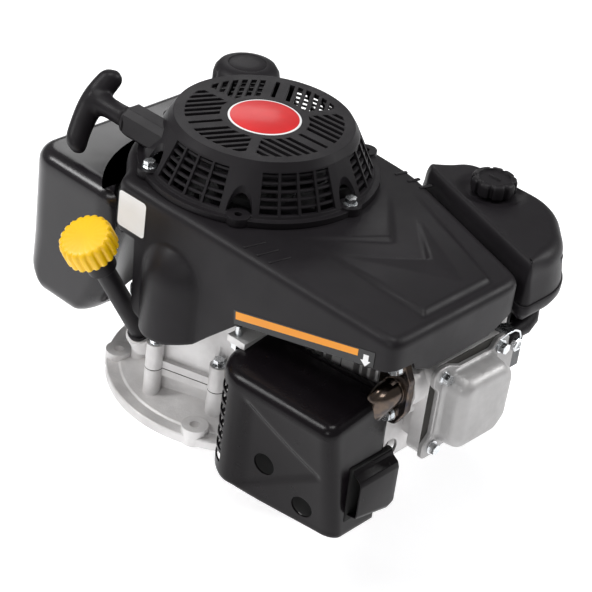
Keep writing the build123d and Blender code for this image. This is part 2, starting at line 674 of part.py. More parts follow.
def starter_housing():
    wall = side_wall() - side_wall(3.0)
    rings = (side_wall(1.2) - side_wall(3.0)) & joined([collar(120, 60, z - 0.8, z + 0.8) for z in RING_LEVELS])
    body = wall - side_windows()
    body = body + rings.solids()
    body += collar(STARTER_FLANGE_R, 87, SHROUD_TOP, STARTER_FLOOR + 1)
    body = body - top_slots()
    body -= post(BADGE_R + 0.2, STARTER_TOP - 1.2, STARTER_TOP + 1)
    body += post(8, ROPE_Z - 8, STARTER_TOP - 2) + collar(SPRING_R + 3, SPRING_R, ROPE_Z + 7, STARTER_TOP - 2)
    # spout that leads the rope out towards -X
    spout = block((-90, -40), (-ROPE_R - 11, -ROPE_R + 11), (ROPE_Z - 12, ROPE_Z + 14))
    spout = chamfer(spout.edges().filter_by(Axis.X), 5)
    body += spout - side_wall(1.0)
    for lug in LUG_ANGLES:
        x, y = polar(94.5, lug)
        body += post(9.5, SHROUD_TOP, STARTER_FLOOR + 3, x, y)
        body -= post(10.5, STARTER_FLOOR + 3, 240, x, y)
        body -= post(3.2, 200, 240, x, y)
    return body - bar_x(8, -100, -60, -ROPE_R, ROPE_Z) - bar_x(5, -70, -20, -ROPE_R, ROPE_Z)


RING_LEVELS = [STARTER_FLOOR + 8.5 + 5.6 * i for i in range(5)]
SLOT_IN_R = 36.5
SLOT_OUT_R = 65.0
BADGE_R = 30.4
SPRING_R = 24.0


def rope_bush():
    at = -90.0
    bush = bar_x(8, at, at + 14, -ROPE_R, ROPE_Z) + bar_x(12, at - 3, at, -ROPE_R, ROPE_Z)
    return bush - bar_x(3.2, at - 5, at + 20, -ROPE_R, ROPE_Z)


def starter_pulley():
    body = collar(67, 8 + RUNNING, ROPE_Z - 6, ROPE_Z + 6) + collar(24, 8 + RUNNING, ROPE_Z - 9, ROPE_Z + 6)
    body -= collar(80, ROPE_R - ROPE_D / 2 - 0.2, ROPE_Z - 3.6, ROPE_Z + 3.6)
    for i in range(6):
        x, y = polar(40, 60 * i)
        body -= post(9, 200, 300, x, y)
    return body


def recoil_spring():
    """A flat spiral strip from the hub post out to the cage."""
    turns = 5
    steps = 24 * turns
    strip = 0.8
    outer = []
    inner = []
    for step in range(steps + 1):
        angle = 360 * turns * step / steps
        r = 8.1 + strip + (SPRING_R - 8.2 - strip) * step / steps
        outer.append(polar(r, angle))
        inner.append(polar(r - strip, angle))
    return plate(outer + inner[::-1], ROPE_Z + 7.5, ROPE_Z + 15)


def starter_dogs():
    dogs = []
    for i in range(2):
        x, y = polar(26, 90 + 180 * i)
        dogs.append(post(5, ROPE_Z - 13.5, ROPE_Z - 9, x, y))
    return joined(dogs)


def wound_rope():
    turn = collar(ROPE_R + ROPE_D / 2, ROPE_R - ROPE_D / 2, ROPE_Z - 3, ROPE_Z + 3)
    return turn


GRIP_X = -136.0
GRIP_AXIS = Vector(0, 0.66, 0.75).normalized()


def pull_handle():
    centre = Vector(GRIP_X, -ROPE_R, ROPE_Z)
    upper = centre + GRIP_AXIS * 27 + Vector(9, 0, 0)
    lower = centre - GRIP_AXIS * 42 + Vector(9, 0, 0)
    body = aimed(Sphere(11.5), upper, GRIP_AXIS) + aimed(Sphere(11.5), lower, GRIP_AXIS)
    body += bar(upper, centre, 11.5) + bar(centre, lower, 11.5) + aimed(Sphere(11.5), centre, GRIP_AXIS)
    body += bar_x(7.5, GRIP_X, -97, -ROPE_R, ROPE_Z) + bar_x(9.5, -101, -93.2, -ROPE_R, ROPE_Z)
    return body - bar_x(3.0, GRIP_X - 6, -80, -ROPE_R, ROPE_Z)


def centre_badge():
    return post(BADGE_R, STARTER_TOP - 1.2, STARTER_TOP + 0.3)


# ---- blower shroud ----
def shroud_plan(inset):
    plan = [(-57, SHROUD_SIDE), (SHROUD_FRONT, SHROUD_SIDE), (SHROUD_FRONT, 44), (85, 100), (30, 104), (-57, 90)]
    face = make_face(Polyline(*plan, close=True)) + Circle(SHROUD_R)
    return offset(face.face(), -inset, kind=Kind.INTERSECTION).face() if inset else face.face()


def blower_shroud():
    low = 92.0
    outer = slab(shroud_plan(0), low, SHROUD_TOP)
    outer = chamfer(outer.edges().group_by(Axis.Z)[-1], 7)
    # arched bulge on the exhaust side
    arch = upright([(-16, 94), (-16, 150), (46, 150), (46, 94)], -116, -100)
    arch += bar((15, -116, 150), (15, -100, 150), 31)
    outer += chamfer(arch.edges().group_by(Axis.Y)[0], 5)
    inner = slab(shroud_plan(SHEET), low - 1, SHROUD_TOP - SHEET)
    inner = chamfer(inner.edges().group_by(Axis.Z)[-1], 6.5)
    pocket = upright([(-12, 90), (-12, 150), (42, 150), (42, 90)], -113, -99)
    pocket += bar((15, -113, 150), (15, -99, 150), 27)
    shell = outer - inner - pocket
    shell -= post(86, 190, 240)
    # stepped lower edges
    side_low = [(-80, 60), (-80, 165), (-25, 165), (-25, 101), (-19, 94), (-12, 93), (46, 101), (60, 118),
                (92, 148), (123, 160), (225, 181), (260, 190), (260, 60)]
    shell -= upright(side_low, -130, -75)
    front_low = Plane.YZ * make_face(Polyline((-76, 60), (-76, 178), (-60, 172), (10, 172), (30, 180), (60, 186),
                                              (60, 60), close=True))
    shell -= Pos(SHROUD_FRONT - 30, 0, 0) * extrude(front_low, 60)
    back_low = [(-130, 60), (-130, 140), (40, 140), (60, 150), (90, 184), (300, 186), (300, 60)]
    shell -= upright(back_low, 20, 130)
    shell -= block((-130, -60), (-80, 30), (60, 140))
    # raised chevrons and the front panel step
    raised = chevron(128, 156, 26) + chevron(160, 190, 30)
    shell += raised - post(STARTER_FLANGE_R + 3, 200, 230)
    for sign in (-1, 1):
        for i in range(3):
            x = 84 + 13 * i
            ys = (84, 99) if sign > 0 else (-99, -84)
            shell -= block((x, x + 3.5), ys, (200, 220))
    for lug in LUG_ANGLES[::2]:
        x, y = polar(94.5, lug)
        shell += post(8, 205.5, SHROUD_TOP - 1, x, y) - post(86, 190, 240)
        shell -= post(3.0, 190, 230, x, y)
    for x, y, seat in SHROUD_BOLT_SEATS:
        boss = post(7.5, seat + SHROUD_ARM_T, 164, x, y)
        shell += boss & block((60, 120), (SHROUD_SIDE + 1, 0), (100, 200))
        shell -= post(3.0, seat, seat + 15, x, y)
    return shell


def chevron(root, tip, width):
    """A raised arrow on the top, pointing towards +X."""
    depth = 62
    points = [(tip, 0), (tip - depth, depth), (tip - depth - width, depth), (tip - width, 0),
              (tip - depth - width, -depth), (tip - depth, -depth)]
    return chamfer(plate(points, SHROUD_TOP - 1, SHROUD_TOP + 1.5).edges().group_by(Axis.Z)[-1], 0.8)


# ---- fuel tank ----
def tank_solid(inset):
    """The outside of the tank, or its inside when inset by the wall."""
    xs, ys, zs = [(low + inset, high - inset) for low, high in (TANK_X, TANK_Y, TANK_Z)]
    body = fillet(block(xs, ys, zs).edges().filter_by(Axis.Z), 30 - inset)
    body -= upright([(-120, -20), (-40, -20), (-40, 75 + inset), (-84, 60 + inset), (-120, 16 + inset)], -140, 140)
    body = fillet(body.edges().group_by(Axis.Z)[-1], 9)
    return body - post(TANK_REACH + inset, -10, 300)


def fuel_tank():
    body = tank_solid(0) + post(23, 180, 208, *FUEL_CAP)
    body -= tank_solid(3)
    for ys in TANK_ARM_Y:
        body += block((-116, -84), ys, (132, 136)) - tank_solid(3)
    for x, y in TANK_BOLTS:
        body -= post(3.0, 120, 150, x, y)
    return body - post(19, 180, 220, *FUEL_CAP)


def fuel_cap():
    x, y = FUEL_CAP
    cap = post(FUEL_CAP_R, 206, FUEL_CAP_TOP - 4, x, y) + post(17, FUEL_CAP_TOP - 5, FUEL_CAP_TOP, x, y)
    for i in range(12):
        dx, dy = polar(FUEL_CAP_R + 2.5, 30 * i)
        cap -= post(5, 200, 240, x + dx, y + dy)
    cap -= post(23.5, 200, 208, x, y)
    return cap + post(18, 196, 209, x, y)


# ---- oil filler ----
def along(distance):
    return OIL_BASE + OIL_AXIS * distance


def oil_fill_tube():
    tube = bar(along(-8), along(104), OIL_TUBE_R) + bar(along(92), along(104), OIL_TUBE_R + 4)
    tube += bar(along(0.2), along(3), OIL_TUBE_R + 2)
    return tube - bar(along(-20), along(110), OIL_TUBE_R - 2)


def dipstick():
    cap = bar(along(105), along(131), OIL_CAP_R) + bar(along(131), along(134), OIL_CAP_R - 4)
    for i in range(10):
        a = math.radians(36 * i)
        groove = Pos((OIL_CAP_R + 2) * math.cos(a), (OIL_CAP_R + 2) * math.sin(a), 14) * Cylinder(4.2, 40)
        cap -= aimed(groove, along(105), OIL_AXIS)
    plug = bar(along(88), along(106), OIL_TUBE_R - 2.3)
    blade = bar(along(-6), along(90), 2.0)
    return cap + plug + blade


# ---- air cleaner ----
def cleaner_plan(inset):
    (x0, x1), (y0, y1) = CLEANER_X, CLEANER_Y
    plan = [(x0, 118), (x0 + 22, y1), (x1 - 55, y1), (x1, y1 - 45), (x1, y0), (x1 - 10, y0), (x0 + 20, 110)]
    face = offset(make_face(Polyline(*plan, close=True)), -12 - inset).face()
    return offset(face, 12).face()


def air_cleaner_base():
    body = slab(cleaner_plan(0), CLEANER_FLOOR, CLEANER_JOINT)
    body -= slab(cleaner_plan(3.5), CLEANER_FLOOR + 3, CLEANER_JOINT + 1)
    body += post(8, CLEANER_FLOOR, CLEANER_JOINT + 4, *KNOB)
    body += post(21, CLEANER_FLOOR - 12, CLEANER_FLOOR + 6, *CARB_TOP)
    body -= post(17, CLEANER_FLOOR - 20, CLEANER_FLOOR + 10, *CARB_TOP)
    return body - post(3.0, 160, 200, *KNOB)


CARB_TOP = (port_x, 124.0)


def air_cleaner_cover():
    body = slab(cleaner_plan(1.5), CLEANER_JOINT + 0.6, CLEANER_TOP)
    body = fillet(body.edges().group_by(Axis.Z)[-1], 9)
    inner = slab(cleaner_plan(4.5), CLEANER_JOINT, CLEANER_TOP - 3)
    body -= chamfer(inner.edges().group_by(Axis.Z)[-1], 6)
    return body - post(3.4, 160, 240, *KNOB)


def filter_element():
    body = slab(cleaner_plan(9), CLEANER_FLOOR + 6.5, CLEANER_JOINT + 22)
    body -= post(9, 150, 230, *KNOB)
    return body


def air_cleaner_knob():
    x, y = KNOB
    knob = post(KNOB_R, CLEANER_TOP + 0.4, CLEANER_TOP + 12, x, y)
    knob = fillet(knob.edges().group_by(Axis.Z)[-1], 2)
    for i in range(8):
        dx, dy = polar(KNOB_R + 3, 45 * i)
        knob -= post(6, 200, 250, x + dx, y + dy)
    return knob + post(2.95, CLEANER_JOINT - 8, CLEANER_TOP + 3, x, y)


# ---- muffler and exhaust ----
PIPE_R = 13.0
PIPE_RUN = [(EXHAUST_X, EXHAUST_FACE, EXHAUST_Z), (EXHAUST_X, -81, EXHAUST_Z), (212, -96, 112), (196, -98, 98)]
SHIELD_HOLES = [(157, 62), (204, 48)]


def pipe_solid(radius):
    """The exhaust pipe's run: out of the head, round an elbow and into the muffler's side."""
    start, elbow, low, end = PIPE_RUN
    body = bar(start, elbow, radius) + bar(elbow, low, radius) + bar(low, end, radius)
    return body + Pos(*elbow) * Sphere(radius) + Pos(*low) * Sphere(radius)


def muffler_shell():
    (x0, x1), (y0, y1), (z0, z1) = MUFFLER_X, MUFFLER_Y, MUFFLER_Z
    outer = fillet(block((x0 + 4, x1 - 4), (y0 + 5, y1), (z0 + 4, z1 - 4)).edges(), 10)
    inner = fillet(block((x0 + 6, x1 - 6), (y0 + 7, y1 - 2), (z0 + 6, z1 - 6)).edges(), 8)
    return outer - inner - pipe_solid(PIPE_R) - block((x1 - 10, x1), (-98, -70), (34, 78))


def heat_shield():
    (x0, x1), (y0, y1), (z0, z1) = MUFFLER_X, MUFFLER_Y, MUFFLER_Z
    outer = block((x0, x1), (y0, y1 - 8), (z0, z1))
    outer = fillet(outer.edges().filter_by(Axis.Z).group_by(Axis.Y)[0], 9)
    outer = fillet(outer.edges().group_by(Axis.Z)[-1], 4)
    inner = block((x0 + 1.6, x1 - 1.6), (y0 + 1.6, y1), (z0 - 5, z1 - 1.6))
    inner = fillet(inner.edges().filter_by(Axis.Z).group_by(Axis.Y)[0], 8)
    body = outer - inner
    for i in range(9):
        z = z1 - 14 - 9.5 * i
        body -= block((x0 - 2, x0 + 7), (y0 - 2, y0 + 16), (z - 2.4, z + 2.4))
    for x, z in SHIELD_HOLES:
        body -= bar((x, y0 - 2, z), (x, y0 + 4, z), 8)
    body -= block((x1 - 4, x1 + 4), (-101, -62), (31, 81))
    return body - pipe_solid(PIPE_R + 2) - block((x1 - 9, x1 + 1), (y0 + 56, y1), (EXHAUST_STUDS[0] - 10, z1 + 1))


def outlet_deflector():
    hood = block((MUFFLER_X[1] - 4, 229), (-100, -64), (32, 80))
    hood = chamfer(hood.edges().filter_by(Axis.Y).group_by(Axis.X)[-1], 5)
    return hood - block((MUFFLER_X[1] - 5, 227), (-101, -66), (34, 78))


def exhaust_pipe():
    flange = bar((EXHAUST_X, EXHAUST_FACE - GASKET, EXHAUST_Z), (EXHAUST_X, EXHAUST_FACE - 6, EXHAUST_Z), 15)
    for z in EXHAUST_STUDS:
        flange += bar((EXHAUST_X, EXHAUST_FACE - GASKET, z), (EXHAUST_X, EXHAUST_FACE - 6, z), 8)
    body = flange + (pipe_solid(PIPE_R) & block((150, 300), (-200, EXHAUST_FACE - GASKET), (0, 200)))
    body -= pipe_solid(PIPE_R - 2)
    for z in EXHAUST_STUDS:
        body -= bar((EXHAUST_X, -50, z), (EXHAUST_X, -70, z), 3.0)
    return body


def exhaust_nuts():
    seat = EXHAUST_FACE - 6
    return joined([bolt_at((EXHAUST_X, seat, z), (0, -1, 0), 5.5, 3.0, 17) for z in EXHAUST_STUDS])


# ---- carburettor and controls ----
CARB_Z = 86.0
THROTTLE_Y = 78.0
CHOKE_Y = 98.0


def carburettor():
    body = block((port_x - 24, port_x + 24), (61, 69), (CARB_Z - 14, CARB_Z + 14))
    body += bar((port_x, 68, CARB_Z), (port_x, CARB_TOP[1], CARB_Z), 16)
    body += post(16.4, CARB_Z - 16, CLEANER_FLOOR, *CARB_TOP)
    body += post(8, CARB_Z - 20, CARB_Z, port_x, 88) + post(20, CARB_Z - 42, CARB_Z - 18, port_x, 88)
    for y in (THROTTLE_Y, CHOKE_Y):
        body += post(6, CARB_Z, CARB_Z + 19, port_x, y)
    body -= bar((port_x, 60, CARB_Z), (port_x, CARB_TOP[1] + 4, CARB_Z), 8)
    body -= post(13, CARB_Z - 10, CLEANER_FLOOR + 1, *CARB_TOP)
    for y in (THROTTLE_Y, CHOKE_Y):
        body -= post(3 + RUNNING, CARB_Z - 9, CARB_Z + 20, port_x, y)
    return body


def control_lever(y, reach, heading):
    """A shaft through the carburettor with a butterfly plate and an arm on top."""
    top = CARB_Z + 19.5
    arm = block((0, reach), (-3, 3), (top, top + 3)) + post(3.5, top, top + 3, reach) - post(1.5, top - 1, top + 4, reach)
    butterfly = bar((0, -0.8, CARB_Z), (0, 0.8, CARB_Z), 7.2)
    lever = post(3, CARB_Z - 8.5, top + 3) + post(6, top, top + 3) + Rot(0, 0, heading) * arm + butterfly
    return Pos(port_x, y, 0) * lever


def control_bracket():
    """A bent steel strap that carries the control cable's end and an edge of the air cleaner."""
    body = block((222, 225), (66, 90), (102, CLEANER_FLOOR))
    body += block((202, 225), (66, 90), (102, 105)) + block((202, 205), (FIN_Y[1], 90), (102, 130))
    body -= bar((215, 81, 126), (230, 81, 126), 3)
    return body


def oil_seals():
    lower = collar(PTO_R + 8, JOURNAL_R + RUNNING, 0.5, 6.5)
    upper = collar(JOURNAL_R + 8, JOURNAL_R + RUNNING, CASE_TOP - 14, CASE_TOP + 1)
    return [lower, upper]


def ignition_coil():
    core = block((0, 30), (-100, -87.5), (COIL_Z, COIL_Z + 12)) - block((8, 22), (-94, -80), (COIL_Z - 1, COIL_Z + 13))
    coil = block((6.5, 23.5), (-103, -88), (COIL_Z - 22, COIL_Z + 2))
    return core + coil


def cover_bolts():
    bolts = []
    for lug in LUG_ANGLES[::2]:
        x, y = polar(94.5, lug)
        bolts.append(bolt_z(x, y, STARTER_FLOOR + 3, 5, 3.0, 12))
    for x, y, seat in SHROUD_BOLT_SEATS:
        bolts.append(bolt_z(x, y, seat, 5, 3.0, 15, up=False))
    for x, y in TANK_BOLTS:
        bolts.append(bolt_z(x, y, 136, 5, 3.0, 18))
    bolts.append(bolt_at(GUARD_FOOT + GUARD_AWAY * 14, GUARD_AWAY, 5.5, 3.0, 14))
    return joined(bolts)


def gaskets_and_seals():
    exhaust = bar((EXHAUST_X, EXHAUST_FACE, EXHAUST_Z), (EXHAUST_X, EXHAUST_FACE - GASKET, EXHAUST_Z), 15)
    exhaust -= bar((EXHAUST_X, -50, EXHAUST_Z), (EXHAUST_X, -70, EXHAUST_Z), 10)
    return joined([gasket_plate(), head_gasket(), valve_cover_gasket(), exhaust] + oil_seals())


# ---- assembly ----
MAKERS = {
    "sump_cover": sump_cover,
    "crankcase": crankcase,
    "gaskets_and_seals": gaskets_and_seals,
    "sump_bolts": sump_bolts,
    "cylinder_head": cylinder_head,
    "head_bolts": head_bolts,
    "valve_cover": valve_cover,
    "valve_cover_bolts": valve_cover_bolts,
    "spark_plug": spark_plug,
    "rocker_studs": rocker_studs,
    "valve_springs": valve_springs,
    "ignition_coil": ignition_coil,
    "blower_shroud": blower_shroud,
    "cover_bolts": cover_bolts,
    "starter_housing": starter_housing,
    "centre_badge": centre_badge,
    "rope_bush": rope_bush,
    "recoil_spring": recoil_spring,
    "fuel_tank": fuel_tank,
    "oil_fill_tube": oil_fill_tube,
    "carburettor": carburettor,
    "air_cleaner_base": air_cleaner_base,
    "filter_element": filter_element,
    "control_bracket": control_bracket,
    "muffler_shell": muffler_shell,
    "heat_shield": heat_shield,
    "outlet_deflector": outlet_deflector,
    "exhaust_pipe": exhaust_pipe,
    "exhaust_nuts": exhaust_nuts,
    "crankshaft_lower": crankshaft_lower,
    "crankshaft_upper": crankshaft_upper,
    "crank_gear": crank_gear,
    "flywheel": flywheel,
    "fan": fan,
    "flywheel_nut": flywheel_nut,
    "starter_cup": starter_cup,
    "camshaft": camshaft,
    "cam_gear": cam_gear,
    "piston": piston,
    "piston_rings": piston_rings,
    "wrist_pin": lambda: post(8, CYL_Z - 31, CYL_Z + 31, WRIST_X),
    "crank_pin": lambda: post(13, CYL_Z - 10, CYL_Z + 10, CRANK_X),
    "connecting_rod": lambda: connecting_rod()[0],
    "rod_cap": rod_cap,
    "starter_pulley": starter_pulley,
    "wound_rope": wound_rope,
    "starter_dogs": starter_dogs,
    "pull_handle": pull_handle,
    "fuel_cap": fuel_cap,
    "dipstick": dipstick,
    "air_cleaner_cover": air_cleaner_cover,
    "air_cleaner_knob": air_cleaner_knob,
    "throttle_lever": lambda: control_lever(THROTTLE_Y, 26, 198),
    "choke_lever": lambda: control_lever(CHOKE_Y, 14, 0),
}
for valve_name in VALVE_ROWS:
    MAKERS[valve_name + "_valve"] = lambda name=valve_name: valve(name)
    MAKERS[valve_name + "_rocker"] = lambda name=valve_name: rocker(name)
    MAKERS[valve_name + "_pushrod"] = lambda name=valve_name: pushrod(name)

os.makedirs("parts", exist_ok=True)
for node, make in MAKERS.items():
    export_step(make(), f"parts/{node}.step")
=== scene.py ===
"""Looks of a small vertical-shaft gasoline engine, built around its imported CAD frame."""

import json
import math

import bmesh
import bpy
from mathutils import Matrix, Vector


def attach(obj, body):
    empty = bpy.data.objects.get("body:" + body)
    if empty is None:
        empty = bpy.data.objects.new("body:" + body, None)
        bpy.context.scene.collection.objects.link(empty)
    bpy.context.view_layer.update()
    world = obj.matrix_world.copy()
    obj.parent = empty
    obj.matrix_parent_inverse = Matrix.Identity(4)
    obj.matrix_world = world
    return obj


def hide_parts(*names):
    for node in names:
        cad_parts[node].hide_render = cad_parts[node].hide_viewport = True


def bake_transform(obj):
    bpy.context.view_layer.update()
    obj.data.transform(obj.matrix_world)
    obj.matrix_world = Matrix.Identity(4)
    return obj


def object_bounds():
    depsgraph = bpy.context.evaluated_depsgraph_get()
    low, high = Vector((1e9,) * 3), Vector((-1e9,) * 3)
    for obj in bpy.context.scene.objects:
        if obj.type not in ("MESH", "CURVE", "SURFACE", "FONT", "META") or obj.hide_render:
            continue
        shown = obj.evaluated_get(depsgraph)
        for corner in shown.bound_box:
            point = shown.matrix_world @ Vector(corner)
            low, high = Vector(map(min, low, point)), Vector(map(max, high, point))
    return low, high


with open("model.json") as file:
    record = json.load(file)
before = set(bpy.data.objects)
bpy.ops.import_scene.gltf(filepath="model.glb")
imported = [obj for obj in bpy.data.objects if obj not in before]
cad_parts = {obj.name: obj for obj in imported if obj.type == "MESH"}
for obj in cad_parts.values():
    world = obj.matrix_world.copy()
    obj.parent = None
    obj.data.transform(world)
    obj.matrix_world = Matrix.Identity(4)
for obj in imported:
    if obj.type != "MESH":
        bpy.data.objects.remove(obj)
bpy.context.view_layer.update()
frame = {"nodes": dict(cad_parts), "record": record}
MM = 0.001


# ---- camera, floor and lights ----
def make_camera():
    """The product view: from the valve-cover side, well above the engine, with a slight roll."""
    azimuth, elevation, roll = (math.radians(a) for a in (39.12, 32.58, 7.89))
    target = Vector((34.8, 28.1, 91.3)) * MM
    distance = 1.7024
    back = Vector((math.sin(azimuth) * math.cos(elevation), -math.cos(azimuth) * math.cos(elevation),
                   math.sin(elevation)))
    right = Vector((math.cos(azimuth), math.sin(azimuth), 0))
    up = back.cross(right)
    x_axis = right * math.cos(roll) + up * math.sin(roll)
    y_axis = up * math.cos(roll) - right * math.sin(roll)
    data = bpy.data.cameras.new("camera")
    data.lens = 121.6
    data.sensor_width = 36.0
    data.clip_end = 50.0
    camera = bpy.data.objects.new("camera", data)
    turn = Matrix((x_axis, y_axis, back)).transposed().to_4x4()
    camera.matrix_world = Matrix.Translation(target + back * distance) @ turn
    bpy.context.scene.collection.objects.link(camera)
    bpy.context.scene.camera = camera


LIGHT_AIM = Vector((0.03, 0.0, 0.1))
SKY_STRENGTH = 0.22
FLOOR_GLOW = 0.45
FLOOR_REACH = 12.0
FLOOR_GAP = 0.0002


def area_light(name, place, size, power):
    """A white rectangular lamp that points at the engine."""
    data = bpy.data.lights.new(name, "AREA")
    data.shape = "RECTANGLE"
    data.size, data.size_y = size
    data.energy = power
    light = bpy.data.objects.new(name, data)
    light.location = place
    light.rotation_euler = (LIGHT_AIM - Vector(place)).to_track_quat("-Z", "Y").to_euler()
    bpy.context.scene.collection.objects.link(light)


def make_stage():
    """Soft boxes round the engine, over a white paper floor just below it."""
    scene = bpy.context.scene
    scene.view_settings.view_transform = "Standard"
    world = bpy.data.worlds.new("studio")
    world.use_nodes = True
    sky = world.node_tree.nodes["Background"]
    sky.inputs["Color"].default_value = (1, 1, 1, 1)
    sky.inputs["Strength"].default_value = SKY_STRENGTH
    scene.world = world
    area_light("top_box", (0.1, -0.1, 2.0), (0.8, 0.6), 15)
    area_light("left_box", (-1.2, -1.1, 1.55), (0.5, 0.8), 20)
    area_light("front_box", (0.5, -1.9, 1.2), (0.9, 0.4), 7)
    area_light("right_box", (1.05, 1.4, 1.3), (0.55, 0.9), 17)
    area_light("back_box", (-1.5, 1.3, 1.2), (0.9, 0.6), 4)

    floor_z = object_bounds()[0][2] - FLOOR_GAP
    mesh = bpy.data.meshes.new("floor")
    signs = ((-1, -1), (1, -1), (1, 1), (-1, 1))
    corners = [(x * FLOOR_REACH, y * FLOOR_REACH, floor_z) for x, y in signs]
    mesh.from_pydata(corners, [], [(0, 1, 2, 3)])
    floor = bpy.data.objects.new("floor", mesh)
    bpy.context.scene.collection.objects.link(floor)
    paper = bpy.data.materials.new("paper")
    paper.use_nodes = True
    shader = paper.node_tree.nodes["Principled BSDF"]
    shader.inputs["Base Color"].default_value = (0.93, 0.93, 0.94, 1)
    shader.inputs["Roughness"].default_value = 0.9
    shader.inputs["Emission Color"].default_value = (1, 1, 1, 1)
    shader.inputs["Emission Strength"].default_value = FLOOR_GLOW
    mesh.materials.append(paper)


# ---- materials ----
class Look:
    """A material under construction: a Principled shader with noise-driven colour, roughness and bump."""

    def __init__(self, name, metallic=0.0, coat=0.0, coat_roughness=0.1, specular=0.5):
        self.material = bpy.data.materials.new(name)
        self.material.use_nodes = True
        self.nodes = self.material.node_tree.nodes
        self.links = self.material.node_tree.links
        self.shader = self.nodes["Principled BSDF"]
        self.shader.inputs["Metallic"].default_value = metallic
        self.shader.inputs["Coat Weight"].default_value = coat
        self.shader.inputs["Coat Roughness"].default_value = coat_roughness
        self.shader.inputs["Specular IOR Level"].default_value = specular
        self.place = self.nodes.new("ShaderNodeTexCoord").outputs["Object"]

    def noise(self, scale, detail):
        """A noise value in object space; scale is in features per metre."""
        node = self.nodes.new("ShaderNodeTexNoise")
        node.inputs["Scale"].default_value = scale
        node.inputs["Detail"].default_value = detail
        node.inputs["Roughness"].default_value = 0.55
        self.links.new(self.place, node.inputs["Vector"])
        return node.outputs["Fac"]

    def ramp(self, value, stops):
        """Colours along a value, from (position, colour) stops."""
        node = self.nodes.new("ShaderNodeValToRGB")
        elements = node.color_ramp.elements
        while len(elements) < len(stops):
            elements.new(0.5)
        for element, (at, colour) in zip(elements, stops):
            element.position = at
            element.color = (*colour, 1)
        self.links.new(value, node.inputs["Fac"])
        return node.outputs["Color"]

    def colour(self, low, high, scale=30, spread=(0.35, 0.65)):
        """The base colour drifts between two tones."""
        stops = [(spread[0], low), (spread[1], high)]
        self.links.new(self.ramp(self.noise(scale, 4), stops), self.shader.inputs["Base Color"])
        return self

    def rough(self, low, high, scale=60):
        """The roughness drifts between two values."""
        node = self.nodes.new("ShaderNodeMapRange")
        node.inputs["From Min"].default_value = 0.3
        node.inputs["From Max"].default_value = 0.7
        node.inputs["To Min"].default_value = low
        node.inputs["To Max"].default_value = high
        self.links.new(self.noise(scale, 5), node.inputs["Value"])
        self.links.new(node.outputs["Result"], self.shader.inputs["Roughness"])
        return self

    def bump(self, layers, edge=0.0006):
        """Bump from (scale, height in metres) layers over softly rounded edges."""
        rounded = self.nodes.new("ShaderNodeBevel")
        rounded.samples = 4
        rounded.inputs["Radius"].default_value = edge
        normal = rounded.outputs["Normal"]
        for scale, height in layers:
            node = self.nodes.new("ShaderNodeBump")
            node.inputs["Strength"].default_value = 1.0
            node.inputs["Distance"].default_value = height
            self.links.new(self.noise(scale, 2), node.inputs["Height"])
            self.links.new(normal, node.inputs["Normal"])
            normal = node.outputs["Normal"]
        self.links.new(normal, self.shader.inputs["Normal"])
        return self


def satin_black():
    """Moulded satin plastic with a fine spark-eroded grain."""
    look = Look("black_plastic", specular=0.2)
    look.colour([0.0090, 0.0078, 0.0092], [0.0125, 0.0108, 0.0128], 14)
    return look.rough(0.40, 0.50, scale=35).bump([(2200, 0.00006), (60, 0.00008)], edge=0.0009).material


def gloss_black():
    """Blow-moulded plastic: glossy, with slow waves in its surface."""
    look = Look("black_gloss", coat=0.2, coat_roughness=0.2, specular=0.3)
    look.colour([0.0085, 0.0074, 0.0088], [0.0125, 0.0108, 0.013], 10)
    return look.rough(0.16, 0.28, scale=18).bump([(14, 0.0009), (900, 0.00001)], edge=0.0012).material


def heat_paint():
    """Satin high-temperature paint on pressed steel."""
    look = Look("muffler_black", specular=0.15)
    look.colour([0.0052, 0.0041, 0.0051], [0.0072, 0.0057, 0.0070], 22)
    return look.rough(0.21, 0.28, scale=90).bump([(700, 0.00003), (25, 0.0003)], edge=0.0008).material


def cast_aluminium(name, low, high, rough):
    """Die-cast aluminium: a blasted skin with darker patches."""
    look = Look(name, metallic=0.4)
    look.colour([low, low * 0.975, low * 0.97], [high, high * 0.985, high * 0.98], 24)
    return look.rough(*rough, scale=150).bump([(1500, 0.00016), (320, 0.00024)], edge=0.0008).material


def plated_steel(name, tone, rough):
    """Bright bluish zinc; at a low tone, a darkened copy that stands in for painted shade."""
    look = Look(name, metallic=1.0)
    look.colour([tone * 0.86, tone * 0.9, tone * 0.93], [tone, tone * 1.01, tone * 1.02], 200)
    return look.rough(*rough, scale=400).bump([(1200, 0.00003)], edge=0.0004).material


def turned_steel():
    look = Look("machined_steel", metallic=1.0)
    look.colour([0.425, 0.425, 0.435], [0.5, 0.5, 0.505], 80)
    return look.rough(0.25, 0.4, scale=300).bump([(1800, 0.00002)], edge=0.0004).material


def cast_iron():
    look = Look("cast_iron", metallic=0.9)
    look.colour([0.11, 0.11, 0.115], [0.18, 0.18, 0.185], 50)
    return look.rough(0.45, 0.62, scale=160).bump([(900, 0.00012)], edge=0.0005).material


def heated_steel():
    """Bright steel that heat has tinted straw, brown and blue."""
    look = Look("heated_steel", metallic=1.0)
    stops = [(0.3, (0.05, 0.047, 0.055)), (0.5, (0.13, 0.10, 0.08)),
             (0.62, (0.07, 0.062, 0.062)), (0.78, (0.20, 0.16, 0.125))]
    look.links.new(look.ramp(look.noise(55, 3), stops), look.shader.inputs["Base Color"])
    return look.rough(0.12, 0.26, scale=120).bump([(500, 0.00004)], edge=0.0006).material


def plain_plastic(name, low, high, rough, grain=0.00002, coat=0.0, edge=0.0007):
    """A smooth coloured skin; grain and edge are in metres."""
    look = Look(name, coat=coat)
    look.colour(low, high, 25)
    return look.rough(*rough, scale=60).bump([(1400, grain)], edge=edge).material


